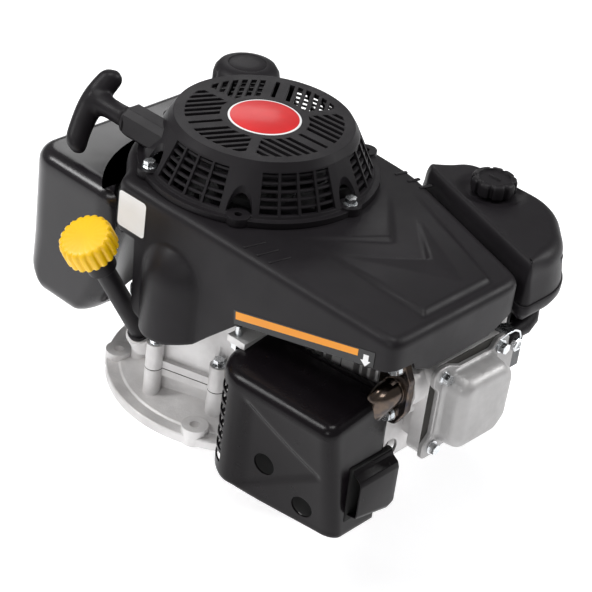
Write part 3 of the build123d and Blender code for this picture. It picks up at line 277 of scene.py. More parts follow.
def filter_foam():
    look = Look("filter_foam")
    look.colour([0.03, 0.03, 0.035], [0.09, 0.09, 0.1], 900, (0.45, 0.55))
    return look.rough(0.85, 0.95).bump([(700, 0.0004)], edge=0.001).material


def braided():
    look = Look("braided_rope")
    look.colour([0.012, 0.012, 0.013], [0.05, 0.05, 0.052], 900, (0.45, 0.55))
    return look.rough(0.7, 0.85).bump([(1100, 0.0003)], edge=0.0003).material


MATERIALS = {
    "cast_aluminium": cast_aluminium("cast_aluminium", 0.62, 0.80, (0.40, 0.58)),
    "cast_iron": cast_iron(),
    "machined_steel": turned_steel(),
    "zinc_plate": plated_steel("zinc_plate", 0.78, (0.18, 0.32)),
    "gasket_fibre": plain_plastic("gasket_fibre", [0.02, 0.02, 0.018], [0.05, 0.045, 0.04], (0.7, 0.85),
                                  0.0001),
    "black_plastic": satin_black(),
    "black_gloss": gloss_black(),
    "yellow_plastic": plain_plastic("yellow_plastic", [0.90, 0.52, 0.0], [0.95, 0.58, 0.001], (0.34, 0.44)),
    "muffler_black": heat_paint(),
    "heated_steel": heated_steel(),
    "badge_red": plain_plastic("badge_red", [0.55, 0.01, 0.012], [0.66, 0.016, 0.018], (0.34, 0.42), coat=0.1),
    "filter_foam": filter_foam(),
    "braided_rope": braided(),
    "porcelain": plain_plastic("porcelain", [0.78, 0.77, 0.73], [0.86, 0.85, 0.82], (0.12, 0.2), coat=0.5),
    "laminated_iron": plain_plastic("laminated_iron", [0.02, 0.018, 0.017], [0.06, 0.05, 0.045], (0.4, 0.6),
                                    0.0001),
}


def paint(piece, look):
    """Gives a piece one material."""
    piece.data.materials.clear()
    piece.data.materials.append(look)


def paint_cad_nodes():
    """Every CAD node gets the material of its slot."""
    for part in frame["record"]["subparts"]:
        paint(frame["nodes"][part["node"]], MATERIALS[part["material_slot"]])


def label_film(name, low, high, rough):
    return plain_plastic(name, low, high, rough, 0.0, edge=0.0001)


# A darker copy of the cast aluminium for the valve cover: painted shade, because under these lamps the cover
# comes out too bright.
SHADED_COVER_ALUMINIUM = cast_aluminium("shaded_cover_aluminium", 0.36, 0.46, (0.34, 0.5))
# Near-black matt: painted shade behind the guard's holes and in the outlet hood's recess.
SHADE_BLACK = plain_plastic("painted_shade_black", [0.0012, 0.0011, 0.0011], [0.003, 0.0028, 0.0028], (0.85, 0.95), 0.00005,
                     edge=0.0004)
LABEL_BLACK = label_film("label_black", [0.008, 0.008, 0.009], [0.012, 0.012, 0.013], (0.3, 0.4))
LABEL_ORANGE = label_film("label_orange", [0.80, 0.28, 0.004], [0.84, 0.31, 0.006], (0.35, 0.45))
LABEL_WHITE = label_film("label_white", [0.80, 0.80, 0.80], [0.86, 0.86, 0.86], (0.35, 0.45))


# ---- mesh helpers; sizes in the calls are millimetres ----
def smooth(t):
    """0 below 0, 1 above 1, and an even S between."""
    t = min(1.0, max(0.0, t))
    return t * t * (3 - 2 * t)


def table(x, rows):
    """Straight-line interpolation in a list of (x, value) rows."""
    if x <= rows[0][0]:
        return rows[0][1]
    for (x0, v0), (x1, v1) in zip(rows, rows[1:]):
        if x <= x1:
            return v0 + (v1 - v0) * (x - x0) / (x1 - x0)
    return rows[-1][1]


def evenly(points, step, closed=True):
    """The same outline with points about one step apart."""
    ends = points + points[:1] if closed else points
    lengths = [math.dist(a, b) for a, b in zip(ends, ends[1:])]
    count = max(3, round(sum(lengths) / step))
    gap = sum(lengths) / count
    result = []
    for i in range(count if closed else count + 1):
        at = i * gap
        k = 0
        while k < len(lengths) - 1 and at > lengths[k]:
            at -= lengths[k]
            k += 1
        t = min(1.0, at / lengths[k]) if lengths[k] else 0
        result.append(tuple(a + (b - a) * t for a, b in zip(ends[k], ends[k + 1])))
    return result


def softened(points, passes):
    """Rounds an evenly spaced closed outline's corners by averaging neighbours."""
    for _ in range(passes):
        after = points[1:] + points[:1]
        before = points[-1:] + points[:-1]
        points = [tuple((a + 2 * b + c) / 4 for a, b, c in zip(*trio)) for trio in zip(before, points, after)]
    return points


def rounded(points, radius, arc_steps=6):
    """A plan outline with its corners rounded; radius is one number or one per corner."""
    result = []
    for i, corner in enumerate(points):
        r = radius[i] if isinstance(radius, (list, tuple)) else radius
        here = Vector(corner)
        back = Vector(points[i - 1]) - here
        ahead = Vector(points[(i + 1) % len(points)]) - here
        back_n, ahead_n = back.normalized(), ahead.normalized()
        half = back_n.angle(ahead_n) / 2
        if r <= 0 or half > 1.55:
            result.append(tuple(here))
            continue
        reach = min(r / math.tan(half), back.length * 0.49, ahead.length * 0.49)
        r = reach * math.tan(half)
        centre = here + (back_n + ahead_n).normalized() * (r / math.sin(half))
        start, end = here + back_n * reach - centre, here + ahead_n * reach - centre
        for k in range(arc_steps + 1):
            mix = start.lerp(end, k / arc_steps)
            result.append(tuple(centre + mix.normalized() * r))
    return result


def turns_left(points):
    """True for an outline that runs anticlockwise."""
    return sum(a[0] * b[1] - b[0] * a[1] for a, b in zip(points, points[1:] + points[:1])) > 0


def inward(points, by):
    """A sampled closed plan outline moved inward along its normals."""
    side = 1 if turns_left(points) else -1
    result = []
    for i, (x, y) in enumerate(points):
        x0, y0 = points[i - 1]
        x1, y1 = points[(i + 1) % len(points)]
        length = math.hypot(x1 - x0, y1 - y0) or 1
        result.append((x - side * (y1 - y0) / length * by, y + side * (x1 - x0) / length * by))
    return result


def piece_from(mesh_data, name, look, body, replaces=(), shade=35):
    """Makes an object from a bmesh in millimetres, smooth but with sharp creases, and fixes it to a body.

    Without a body it is left loose, for a piece that is still to be cut or thickened.
    """
    bmesh.ops.recalc_face_normals(mesh_data, faces=mesh_data.faces)
    bmesh.ops.scale(mesh_data, vec=(MM, MM, MM), verts=mesh_data.verts)
    mesh = bpy.data.meshes.new(name)
    mesh_data.to_mesh(mesh)
    mesh_data.free()
    mesh.shade_smooth()
    mesh.set_sharp_from_angle(angle=math.radians(shade))
    mesh.materials.append(look)
    piece = bpy.data.objects.new(name, mesh)
    bpy.context.scene.collection.objects.link(piece)
    if body:
        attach(piece, body)
    if replaces:
        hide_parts(*replaces)
    return piece


def plastic_piece(data, name, body, replaces=(), shade=35):
    """A piece of the satin black plastic."""
    return piece_from(data, name, MATERIALS["black_plastic"], body, replaces, shade)


def skin(data, rings, close=(False, False), loop=True):
    """Quads between rings of equal length; close caps the first and last ring."""
    rows = [[data.verts.new(p) for p in ring] for ring in rings]
    for low, high in zip(rows, rows[1:]):
        last = len(low) if loop else len(low) - 1
        for i in range(last):
            j = (i + 1) % len(low)
            data.faces.new((low[i], low[j], high[j], high[i]))
    if close[0]:
        data.faces.new(rows[0][::-1])
    if close[1]:
        data.faces.new(rows[-1])
    return rows


def lathe(data, profile, origin=(0, 0, 0), axis=(0, 0, 1), steps=48, wobble=None):
    """Turns (radius, height) rows about an axis; wobble(angle, radius, height) gives a new radius."""
    axis = Vector(axis).normalized()
    turn = axis.to_track_quat("Z", "Y").to_matrix()
    origin = Vector(origin)
    rings = []
    for radius, height in profile:
        ring = []
        for i in range(steps):
            a = 2 * math.pi * i / steps
            r = wobble(a, radius, height) if wobble else radius
            ring.append(origin + turn @ Vector((r * math.cos(a), r * math.sin(a), height)))
        rings.append(ring)
    skin(data, rings, close=(True, True))


def tube(data, path, widths, steps):
    """A round bar along a path, with a radius at each point of it."""
    points = [Vector(p) for p in path]
    rings = []
    for i, (point, wide) in enumerate(zip(points, widths)):
        run = (points[min(i + 1, len(points) - 1)] - points[max(i - 1, 0)]).normalized()
        side = run.cross(Vector((1, 0, 0))).normalized()
        other = run.cross(side)
        turns = [2 * math.pi * k / steps for k in range(steps)]
        rings.append([point + side * (wide * math.cos(a)) + other * (wide * math.sin(a)) for a in turns])
    skin(data, rings, close=(True, True))


def box(data, low, high):
    """A plain box; gives its vertices."""
    made = bmesh.ops.create_cube(data, size=1.0)["verts"]
    for vert in made:
        vert.co = Vector([lo + (hi - lo) * (c + 0.5) for lo, hi, c in zip(low, high, vert.co)])
    return made


def rounded_box(data, low, high, bevel, segments):
    """A box with bevelled edges."""
    made = box(data, low, high)
    edges = list({edge for vert in made for edge in vert.link_edges})
    bmesh.ops.bevel(data, geom=edges, offset=bevel, segments=segments, affect="EDGES", profile=0.5,
                    clamp_overlap=True)


def thicken(piece, thickness):
    """Gives a surface a wall, in millimetres, on its inner side."""
    wall = piece.modifiers.new("thickness", "SOLIDIFY")
    wall.thickness = thickness * MM
    wall.offset = -1


def shoulder(outline, top, radius, steps):
    """Rings that turn from a wall's top inward over a rounded edge."""
    rings = []
    for k in range(steps + 1):
        a = math.pi / 2 * k / steps
        ring = inward(outline, radius * (1 - math.cos(a))) if k else outline
        rings.append([(x, y, top - radius * (1 - math.sin(a))) for x, y in ring])
    return rings


def gridded(data, faces, step, low, high):
    """Cuts faces by lines a step apart in X and Y, so that they can be shaped."""
    for axis, normal in enumerate((Vector((1, 0, 0)), Vector((0, 1, 0)))):
        at = low[axis] + step
        while at < high[axis]:
            faces = [face for face in faces if face.is_valid]
            verts = {vert for face in faces for vert in face.verts}
            edges = {edge for face in faces for edge in face.edges}
            geom = list(verts) + list(edges) + faces
            made = bmesh.ops.bisect_plane(data, geom=geom, plane_co=normal * at, plane_no=normal)
            faces = [item for item in made["geom"] if isinstance(item, bmesh.types.BMFace)]
            at += step
    return [face for face in faces if face.is_valid]


# ---- blower shroud ----
SHROUD_TOP = 211.4
SHROUD_PLAN = [(-57, -107), (243, -107), (243, 44), (85, 100), (30, 104), (-57, 90)]
SHROUD_EDGE_R = 8.0
SHROUD_SHEET = 2.2
FAN_CASE_R = 108.0
STARTER_HOLE_R = 93
# height of the lower edge along the exhaust side, the front and the air cleaner's side
SIDE_LOW = [(-28.5, 165), (-28, 106), (-24, 98), (-12, 93.3), (27, 98.5), (46, 104), (60, 118), (92, 148),
            (123, 160), (225, 181), (260, 190)]
FRONT_LOW = [(-90, 181), (-76, 178), (-60, 172), (10, 172), (30, 180), (60, 186)]
BACK_LOW = [(-200, 140), (40, 140), (60, 150), (90, 184), (300, 186)]


def shroud_outline():
    """The plan outline seen from the crank axis: a polygon, or the fan's circle where that is wider."""
    points = []
    for i in range(1440):
        a = math.radians(i / 4)
        ray = (math.cos(a), math.sin(a))
        reach = FAN_CASE_R
        for (x0, y0), (x1, y1) in zip(SHROUD_PLAN, SHROUD_PLAN[1:] + SHROUD_PLAN[:1]):
            ex, ey = x1 - x0, y1 - y0
            det = ray[0] * ey - ray[1] * ex
            if abs(det) < 1e-9:
                continue
            t = (x0 * ey - y0 * ex) / det
            u = (x0 * ray[1] - y0 * ray[0]) / det
            if t > 0 and -1e-6 <= u <= 1 + 1e-6:
                reach = max(reach, t)
        points.append((ray[0] * reach, ray[1] * reach))
    return softened(evenly(points, 2.6), 26)


def shroud_low(x, y):
    """Height of the lower edge."""
    if y < -80:
        return 165 if x < -28.5 else table(x, SIDE_LOW)
    if x > 190 and y < 60:
        return table(y, FRONT_LOW)
    if y > 20:
        return table(x, BACK_LOW)
    return 140 if x < 0 else 165


def bulge(x, z):
    """How far the arched dome on the exhaust side stands out."""
    inside = min(x + 17, 47 - x) if z < 148 else 32 - math.hypot(x - 15, z - 148)
    t = min(1.0, max(0.0, inside / 31))
    return 15.5 * (1 - (1 - t) ** 1.9) * smooth(inside / 3.5)


def beyond_arrow(x, y, apex, wing):
    """Distance outside a V that points along +X: its apex, and how its arms run back."""
    run_x, run_y = wing
    length = math.hypot(run_x, run_y)
    normal_x, normal_y = run_y / length, run_x / length
    return (x - apex) * normal_x + abs(y) * normal_y


def panel_depth(x, y):
    """Distance inside the raised front panel."""
    corner = (231.5, -62.0)
    front = corner[0] - x
    side = y - (corner[1] + (corner[0] - x) * 0.05)
    ridge = ((163 - x) * 0.45 + (51 - y)) * 0.912
    return min(front, side, ridge)


def relief(x, y):
    """Shape of the top: a raised panel with two arrows that point to the front."""
    height = 3.6 * smooth(panel_depth(x, y) / 5.0) * smooth((x - 95) / 105)
    first = beyond_arrow(x, y + 1, 150, (57, 62))
    height += 3.4 * smooth((x - 88) / 60) * (1 - smooth((first + 5.0) / 5.5))
    near = beyond_arrow(x, y + 3, 187, (46, 42))
    far = beyond_arrow(x, y + 3, 220, (79, 44))
    width = near - far
    if near > -3 and far < 0 and width > 0:
        crest = near / max(width, 1e-3)
        rise = smooth((near + 3) / 3.6)
        fall = 1 - max(0.0, min(1.0, crest))
        height += 3.4 * min(1.0, width / 14) * rise * fall ** 0.8
    return height


def blower_shroud():
    """The moulded cover: a wall down to its lower edge, a rounded top edge and a shaped top."""
    outline = shroud_outline()
    rows = 40
    rings = []
    for k in range(rows):
        ring = []
        for x, y in outline:
            low = shroud_low(x, y)
            z = low + (SHROUD_TOP - SHROUD_EDGE_R - low) * k / rows
            shift = bulge(x, z) if y < -100 else 0.0
            ring.append((x, y - shift, z))
        rings.append(ring)
    rings += shoulder(outline, SHROUD_TOP, SHROUD_EDGE_R, 6)
    data = bmesh.new()
    made = skin(data, rings)
    cap = data.faces.new(made[-1])
    cap_faces = gridded(data, [cap], 2.0, (-115, -110), (245, 112))
    for vert in {vert for face in cap_faces for vert in face.verts}:
        vert.co.z += relief(vert.co.x, vert.co.y)
    hidden = [face for face in cap_faces if face.calc_center_median().to_2d().length < STARTER_HOLE_R]
    bmesh.ops.delete(data, geom=hidden, context="FACES")
    shroud = plastic_piece(data, "shroud_shell", None, ("blower_shroud",), 50)
    thicken(shroud, SHROUD_SHEET)
    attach(shroud, "engine")


def bar_marks():
    """Three raised dashes on each side of the starter."""
    data = bmesh.new()
    for x in (82, 96, 109):
        for x0, y0, y1, lean in ((x, -101, -81, 4.2), (x - 6, 84, 96, 3.0)):
            count = len(data.verts)
            rounded_box(data, (-1.6, 0, 0), (1.6, math.hypot(lean, y1 - y0), 1.7), 0.8, 3)
            data.verts.ensure_lookup_table()
            turn = Matrix.Rotation(-math.atan2(lean, y1 - y0), 3, "Z")
            for vert in data.verts[count:]:
                vert.co = turn @ vert.co + Vector((x0, y0, SHROUD_TOP - 0.9))
    plastic_piece(data, "shroud_dashes", "engine")


def flat_sheet(name, corners, look, thickness):
    """A thin sticker through four or more corners in space."""
    data = bmesh.new()
    base = data.faces.new([data.verts.new(c) for c in corners])
    base.normal_update()
    normal = base.normal.copy()
    made = bmesh.ops.extrude_face_region(data, geom=[base])
    for vert in [item for item in made["geom"] if isinstance(item, bmesh.types.BMVert)]:
        vert.co += normal * thickness
    piece_from(data, name, look, "engine", shade=30)


def stickers():
    """Plain labels on the shroud's exhaust side, in the places of the printed ones: no words."""
    ground, print_layer = SHROUD_PLAN[0][1] - 0.15, SHROUD_PLAN[0][1] - 0.35
    strip = [(85, 158.5), (87, 146.3), (226, 182.6), (226, 196)]
    band = [(87.5, 158), (88.3, 151.3), (210.5, 185.2), (210.5, 190.9)]
    arrow = [(215.9, 189.5), (215.9, 184.7), (213.6, 183.7), (218.6, 179.9), (223, 186.1), (220.8, 185.6),
             (220.8, 190.7)]
    edge = rounded([(-51, 169), (-18, 169), (-18, 203), (-51, 203)], 3.5, 5)
    sheet = rounded([(-50, 170), (-19, 170), (-19, 202), (-50, 202)], 3, 5)
    for name, corners, look, slot in (("heat_label_ground", strip, LABEL_BLACK, "black_gloss"),
                                      ("heat_label_band", band, LABEL_ORANGE, "yellow_plastic"),
                                      ("heat_label_arrow", arrow, LABEL_WHITE, "porcelain"),
                                      ("side_label_border", edge, LABEL_BLACK, "black_gloss"),
                                      ("side_label_sheet", sheet, LABEL_WHITE, "porcelain")):
        y, thickness = (ground, 0.15) if look is LABEL_BLACK else (print_layer, 0.1)
        flat_sheet(name, [(x, y, z) for x, z in corners], look, thickness)


# ---- muffler guard and outlet ----
GUARD_PLAN = [(88, -66), (88, -131.5), (217, -131.5), (217, -63)]
GUARD_CORNERS = [0, 30, 11, 0]
GUARD_EDGE_R = 8.5
GUARD_SHEET = 1.6
GUARD_TOP_STEPS = 6
GUARD_LOW = 16.5
# how much higher the front's lower edge is, along X
GUARD_RISE = [(88, 17), (98, 11), (112, 6.5), (150, 3), (217, 0)]
GUARD_HOLES = ((150.5, 55.5), (189.5, 35))
GUARD_HOLE_R = 9.6
SLOT_COUNT = 7
SLOT_TOP_Z = 105.5
SLOT_PITCH = 11.2
SLOT_HALF = 4.1


def guard_lean(x, y, z):
    """Moves a point of the straight box: the lean of the front and the flare of the right side."""
    down = min(1.0, max(0.0, (118 - z) / 98))
    along = min(1.0, max(0.0, (x - 118) / 99))
    front = min(1.0, max(0.0, (-63 - y) / 68))
    lean = 19.0 * down * along * front
    flare = 2.5 * down * smooth((x - 195) / 20)
    return x + flare, y + lean


def guard_top(x, y):
    """Height of the top, which slopes up towards the cylinder and the front."""
    return 121.5 + 0.17 * (y + 131) + 0.045 * (x - 107)


def guard_dish(x, z):
    """Depth of the dished field in the front, below its slanting crease."""
    upper = (x - 135) * 0.394 + (z - 107.6) * 0.919
    lower = (z - 28 - (x - 140) * 0.672) * 0.83
    return 2.6 * smooth(min(-upper, 206 - x, lower) / 5.5) * smooth((x - 122) / 14)


def guard_openings():
    """Cutters for the two round holes in the front and the slots round the left corner."""
    data = bmesh.new()
    turn = Matrix.Rotation(math.radians(90), 3, "X")
    for x, z in GUARD_HOLES:
        made = bmesh.ops.create_cone(data, cap_ends=True, segments=48, radius1=GUARD_HOLE_R,
                                     radius2=GUARD_HOLE_R, depth=34)
        for vert in made["verts"]:
            vert.co = turn @ vert.co + Vector((x, -126, z))
    for i in range(SLOT_COUNT):
        z = SLOT_TOP_Z - SLOT_PITCH * i
        box(data, (74, -140, z - SLOT_HALF), (108.5, -102, z + SLOT_HALF))
    return data


def muffler_guard():
    """Pressed cover, open at the back: it leans in towards its right foot."""
    outline = evenly(rounded(GUARD_PLAN, GUARD_CORNERS, 14), 2.0)
    rows = 46
    rings = []
    for k in range(rows):
        ring = []
        for x, y in outline:
            low = GUARD_LOW + table(x, GUARD_RISE) * smooth((-92 - y) / 30)
            z = low + (guard_top(x, y) - GUARD_EDGE_R - low) * k / rows
            px, py = guard_lean(x, y, z)
            if y < -122:
                py += guard_dish(x, z)
            ring.append((px, py, z))
        rings.append(ring)
    for k in range(GUARD_TOP_STEPS + 1):
        a = math.pi / 2 * k / GUARD_TOP_STEPS
        ring = inward(outline, GUARD_EDGE_R * (1 - math.cos(a))) if k else outline
        drop = GUARD_EDGE_R * (1 - math.sin(a))
        rings.append([(*guard_lean(x, y, 118), guard_top(x, y) - drop) for x, y in ring])
    data = bmesh.new()
    made = skin(data, rings)
    data.faces.new(made[-1])
    bmesh.ops.triangulate(data, faces=[face for face in data.faces if len(face.verts) > 4])
    back = [face for face in data.faces if all(vert.co.y > -67 for vert in face.verts)]
    bmesh.ops.delete(data, geom=back, context="FACES")
    paint_look = MATERIALS["muffler_black"]
    guard = piece_from(data, "muffler_guard", paint_look, None, ("heat_shield",), 40)
    thicken(guard, GUARD_SHEET)
    cut_with(guard, guard_openings())
    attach(guard, "engine")


def muffler_can():
    """The muffler behind the guard, matt and painted near-black as shade, so that it stays dark behind the
    holes.
    """
    data = bmesh.new()
    rounded_box(data, (95, -111, 17.5), (208, -66, 113), 3, 3)
    rounded_box(data, (94.2, -90.5, 17.2), (208.8, -87.5, 113.8), 1.2, 2)
    # The can's near-black is painted shade seen through the guard's holes.
    piece_from(data, "muffler_can", SHADE_BLACK, "engine", ("muffler_shell",), 40)


def cut_with(piece, cutter_data):
    """Subtracts a bmesh in millimetres from a piece, and bakes its modifiers."""
    bmesh.ops.recalc_face_normals(cutter_data, faces=cutter_data.faces)
    bmesh.ops.scale(cutter_data, vec=(MM, MM, MM), verts=cutter_data.verts)
    mesh = bpy.data.meshes.new("cutter")
    cutter_data.to_mesh(mesh)
    cutter_data.free()
    tool = bpy.data.objects.new("cutter", mesh)
    bpy.context.scene.collection.objects.link(tool)
    cut = piece.modifiers.new("cut", "BOOLEAN")
    cut.operation = "DIFFERENCE"
    cut.solver = "EXACT"
    cut.object = tool
    bake(piece)
    bpy.data.objects.remove(tool)


def bake(piece):
    """Replaces a piece's mesh with what its modifiers make of it."""
    graph = bpy.context.evaluated_depsgraph_get()
    made = bpy.data.meshes.new_from_object(piece.evaluated_get(graph))
    piece.modifiers.clear()
    piece.data = made


def outlet_hood():
    """The folded hood over the muffler's outlet: open towards the front, closed below."""
    data = bmesh.new()
    rings = []
    for y, low in ((-101, 38), (-62, 30), (-56, 33)):
        fold = [(216, 81), (220.5, 80), (222, 76.5), (227.6, 73), (229.4, 68.5), (229.5, low + 3), (228.5, low),
                (216, low - 2)]
        rings.append([(x, y, z) for x, z in fold])
    skin(data, rings, close=(False, True), loop=False)
    paint_look = MATERIALS["muffler_black"]
    hood = piece_from(data, "outlet_hood", paint_look, None, ("outlet_deflector",), 25)
    thicken(hood, 1.4)
    soft = hood.modifiers.new("soft", "BEVEL")
    soft.width = 1.1 * MM
    soft.segments = 3
    soft.limit_method = "ANGLE"
    soft.angle_limit = math.radians(15)
    bake(hood)
    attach(hood, "engine")
    # A near-black plate set inside the hood: painted shade for its recess.
    data = bmesh.new()
    rounded_box(data, (215, -103, 30), (220.0, -56, 82), 1.0, 2)
    piece_from(data, "outlet_shade_plate", SHADE_BLACK, "engine")


# ---- air cleaner ----
CARB_TOP = (182.0, 124.0, 0)
KNOB = (147, 124, 0)
LID_LOW = 181.3
LID_WALL_LOW = 183
LID_WALL_TOP = 203
LID_TOP = 217.6
LID_EDGE = (5, 12)                 # how far the lid's edge turns in: beside the shroud, and elsewhere
LID_EDGE_STEPS = 8
CLEANER_PLAN = [(78, 114), (100, 158), (196, 158), (245, 106), (245, 49.5), (226, 55.5), (90, 103)]
CLEANER_CORNERS = [10, 30, 62, 62, 13, 30, 14]


def cleaner_outline():
    return evenly(rounded(CLEANER_PLAN, CLEANER_CORNERS, 12), 2.4)


def mixed(a, b, share):
    """Two outlines mixed point by point; share is one number or one per point."""
    shares = share if isinstance(share, list) else [share] * len(a)
    return [(x0 + (x1 - x0) * t, y0 + (y1 - y0) * t) for (x0, y0), (x1, y1), t in zip(a, b, shares)]


def cleaner_lid():
    """The lid leans in a little, then turns over a large soft edge that is tighter beside the shroud."""
    outline = inward(cleaner_outline(), 1.5)
    lean = inward(outline, 3)
    rings = [[(x, y, LID_LOW) for x, y in outline]]
    rings.append([(x, y, LID_WALL_LOW) for x, y in inward(outline, 0.2)])
    for z in (188, 193, 198, LID_WALL_TOP):
        share = (z - LID_WALL_LOW) / (LID_WALL_TOP - LID_WALL_LOW)
        rings.append([(x, y, z) for x, y in mixed(outline, lean, share)])
    far_side = [smooth((x * 0.334 + y * 0.9425 - 134) / 26) for x, y in lean]
    inner = mixed(inward(lean, LID_EDGE[0]), inward(lean, LID_EDGE[1]), far_side)
    for k in range(1, LID_EDGE_STEPS + 1):
        a = math.pi / 2 * k / LID_EDGE_STEPS
        z = LID_WALL_TOP + (LID_TOP - LID_WALL_TOP) * math.sin(a)
        rings.append([(x, y, z) for x, y in mixed(lean, inner, 1 - math.cos(a))])
    data = bmesh.new()
    made = skin(data, rings, close=(True, False))
    cap = data.faces.new(made[-1])
    faces = gridded(data, [cap], 3, (76, 46), (246, 160))
    for vert in {vert for face in faces for vert in face.verts}:
        away = math.hypot(vert.co.x - KNOB[0], vert.co.y - KNOB[1])
        vert.co.z -= 2.6 * (1 - smooth((away - 22) / 7))
    plastic_piece(data, "cleaner_lid", "air_cleaner_cover", ("air_cleaner_cover",), 50)


def cleaner_tray():
    """The tray under the lid, with the socket for the carburettor and the post for the knob."""
    data = bmesh.new()
    rim = cleaner_outline()
    levels = [(165.5, 7), (166.5, 4.5), (169, 2.4), (172, 0.9), (173.5, 0.2), (179.2, 0), (180.2, 0.5),
              (180.6, 1.6), (180.6, 3.4), (168.5, 5)]
    skin(data, [[(x, y, z) for x, y in inward(rim, by)] for z, by in levels], close=(True, True))
    lathe(data, [(21, 153), (21, 167)], CARB_TOP, steps=40)
    lathe(data, [(6.5, 168), (6.5, 181)], KNOB, steps=24)
    plastic_piece(data, "cleaner_tray", "engine", ("air_cleaner_base",), 40)


def cleaner_knob():
    """A round knob with nine finger dips and a bar across its sunk top."""
    def wavy(a, radius, height):
        dip = smooth((math.cos(9 * a) - 0.35) / 0.65)
        return radius - 2.4 * dip * smooth((radius - 12) / 5)

    data = bmesh.new()
    profile = [(6, 216.5), (17.4, 217), (19, 218.6), (19, 226.8), (18.2, 228.8), (16.2, 230), (13.4, 230.2),
               (12.6, 228.6), (0.5, 228.6)]
    lathe(data, profile, KNOB, steps=108, wobble=wavy)
    rounded_box(data, (KNOB[0] - 6, KNOB[1] - 1.1, 228), (KNOB[0] + 6, KNOB[1] + 1.1, 229.8), 0.5, 2)
    look = MATERIALS["black_plastic"]
    piece_from(data, "cleaner_knob", look, "air_cleaner_knob", ("air_cleaner_knob",), 40)


# ---- fuel tank ----
TANK_X = (-172, -62)
TANK_Y = (-100, 128)
TANK_Z = (51.0, 186)
TANK_CORNERS = [26, 34, 26, 22]
TANK_EDGE_R = 13
TANK_FOOT_R = 12
TANK_HOLLOW_R = 113.6              # clears the crankcase and the fan's case
FILLER = (-112, 98, 0)


def fuel_tank():
    """Blow-moulded: large radii all round, and a lower part that narrows towards the crankcase."""
    (x0, x1), (y0, y1), (low, top) = TANK_X, TANK_Y, TANK_Z
    base = evenly(rounded([(x0, y0), (x0, y1), (x1, y1), (x1, y0)], TANK_CORNERS, 9), 2.8)
    rings = []
    wall = low + TANK_FOOT_R
    heights = [low + 1.2 * k for k in range(10)]
    heights += [wall + 4.0 * k for k in range(int((top - TANK_EDGE_R - wall) / 4) + 1)]
    for z in heights:
        tuck = table(z, [(low, 34), (low + 22, 14), (96, 2), (104, 0)])
        foot = 9 * (1 - math.sqrt(max(0.0, 1 - (1 - min(1.0, (z - low) / TANK_FOOT_R)) ** 2)))
        left = 14 * (1 - smooth((z - low + 3) / 26))
        ring = []
        for x, y in inward(base, foot) if foot > 0.01 else base:
            share = (x - x0) / (x1 - x0)
            px = x - tuck * share + left * (1 - share)
            if math.hypot(px, y) < TANK_HOLLOW_R:
                px = -math.sqrt(max(0.0, TANK_HOLLOW_R ** 2 - y * y))
            ring.append((px, y, z))
        rings.append(ring)
    last = [(x, y) for x, y, _ in rings[-1]]
    rings += shoulder(last, top, TANK_EDGE_R, 7)[1:]
    data = bmesh.new()
    made = skin(data, rings, close=(True, False))
    data.faces.new(made[-1])
    piece_from(data, "tank_shell", MATERIALS["black_gloss"], "engine", ("fuel_tank",), 60)
    data = bmesh.new()
    lathe(data, [(24, 181), (24, 204), (23, 207.5), (10, 207.8)], FILLER, steps=64)
    piece_from(data, "tank_neck", MATERIALS["black_gloss"], "engine")


def fuel_cap():
    """The filler cap: six grip dips and a ring groove in its crowned top."""
    def grip(a, radius, height):
        dip = smooth((math.cos(6 * a) - 0.55) / 0.45)
        return radius - 4.0 * dip * smooth((radius - 22) / 6) * smooth((226 - height) / 8)

    data = bmesh.new()
    profile = [(24.5, 206.5), (29.2, 207), (29.8, 208.5), (29.8, 219), (28.6, 224), (25.5, 228.2), (20, 230.4),
               (17.4, 230.7), (16.6, 229.9), (15.8, 230.4), (8, 230.9), (0.5, 231)]
    lathe(data, profile, FILLER, steps=96, wobble=grip)
    plastic_piece(data, "fuel_cap_shell", "fuel_cap", ("fuel_cap",), 40)


# ---- oil filler cap ----
OIL_BASE = Vector((-35.0, -85.0, 63.0))
OIL_AXIS = Vector((-0.05, -0.497, 0.866)).normalized()


def oil_cap():
    """The lobed yellow cap, its dipstick blade and the neck of the filler tube; heights run along the tube."""
    def lobed(a, radius, height):
        dip = smooth((math.cos(20 * a) + 0.3) / 1.3)
        return radius - 1.5 * dip * smooth((radius - 18) / 3)

    yellow = MATERIALS["yellow_plastic"]
    data = bmesh.new()
    profile = [(8, 112.2), (20.5, 112.6), (22.4, 114), (22.6, 116), (22.6, 128), (21.9, 131.4), (20.2, 133.0),
               (17, 133.4), (0.5, 133.4)]
    lathe(data, profile, OIL_BASE, OIL_AXIS, steps=180, wobble=lobed)
    piece_from(data, "oil_cap", yellow, "dipstick", ("dipstick",), 40)
    data = bmesh.new()
    lathe(data, [(5.8, 88), (5.8, 113)], OIL_BASE, OIL_AXIS, steps=32)
    lathe(data, [(1.6, -6), (2, -5), (2, 89)], OIL_BASE, OIL_AXIS, steps=16)
    piece_from(data, "oil_blade", yellow, "dipstick")
    data = bmesh.new()
    neck = [(11.5, 103.5), (13.6, 104.2), (13.9, 106), (13.4, 110.5), (12, 112.0), (8.0, 112.1), (7.6, 104.5)]
    lathe(data, neck, OIL_BASE, OIL_AXIS, steps=48)
    plastic_piece(data, "oil_neck", "engine", shade=40)


# ---- pull handle and rope ----
GRIP_CENTRE = Vector((-136, -60, 231))
ROPE_R = 2.0


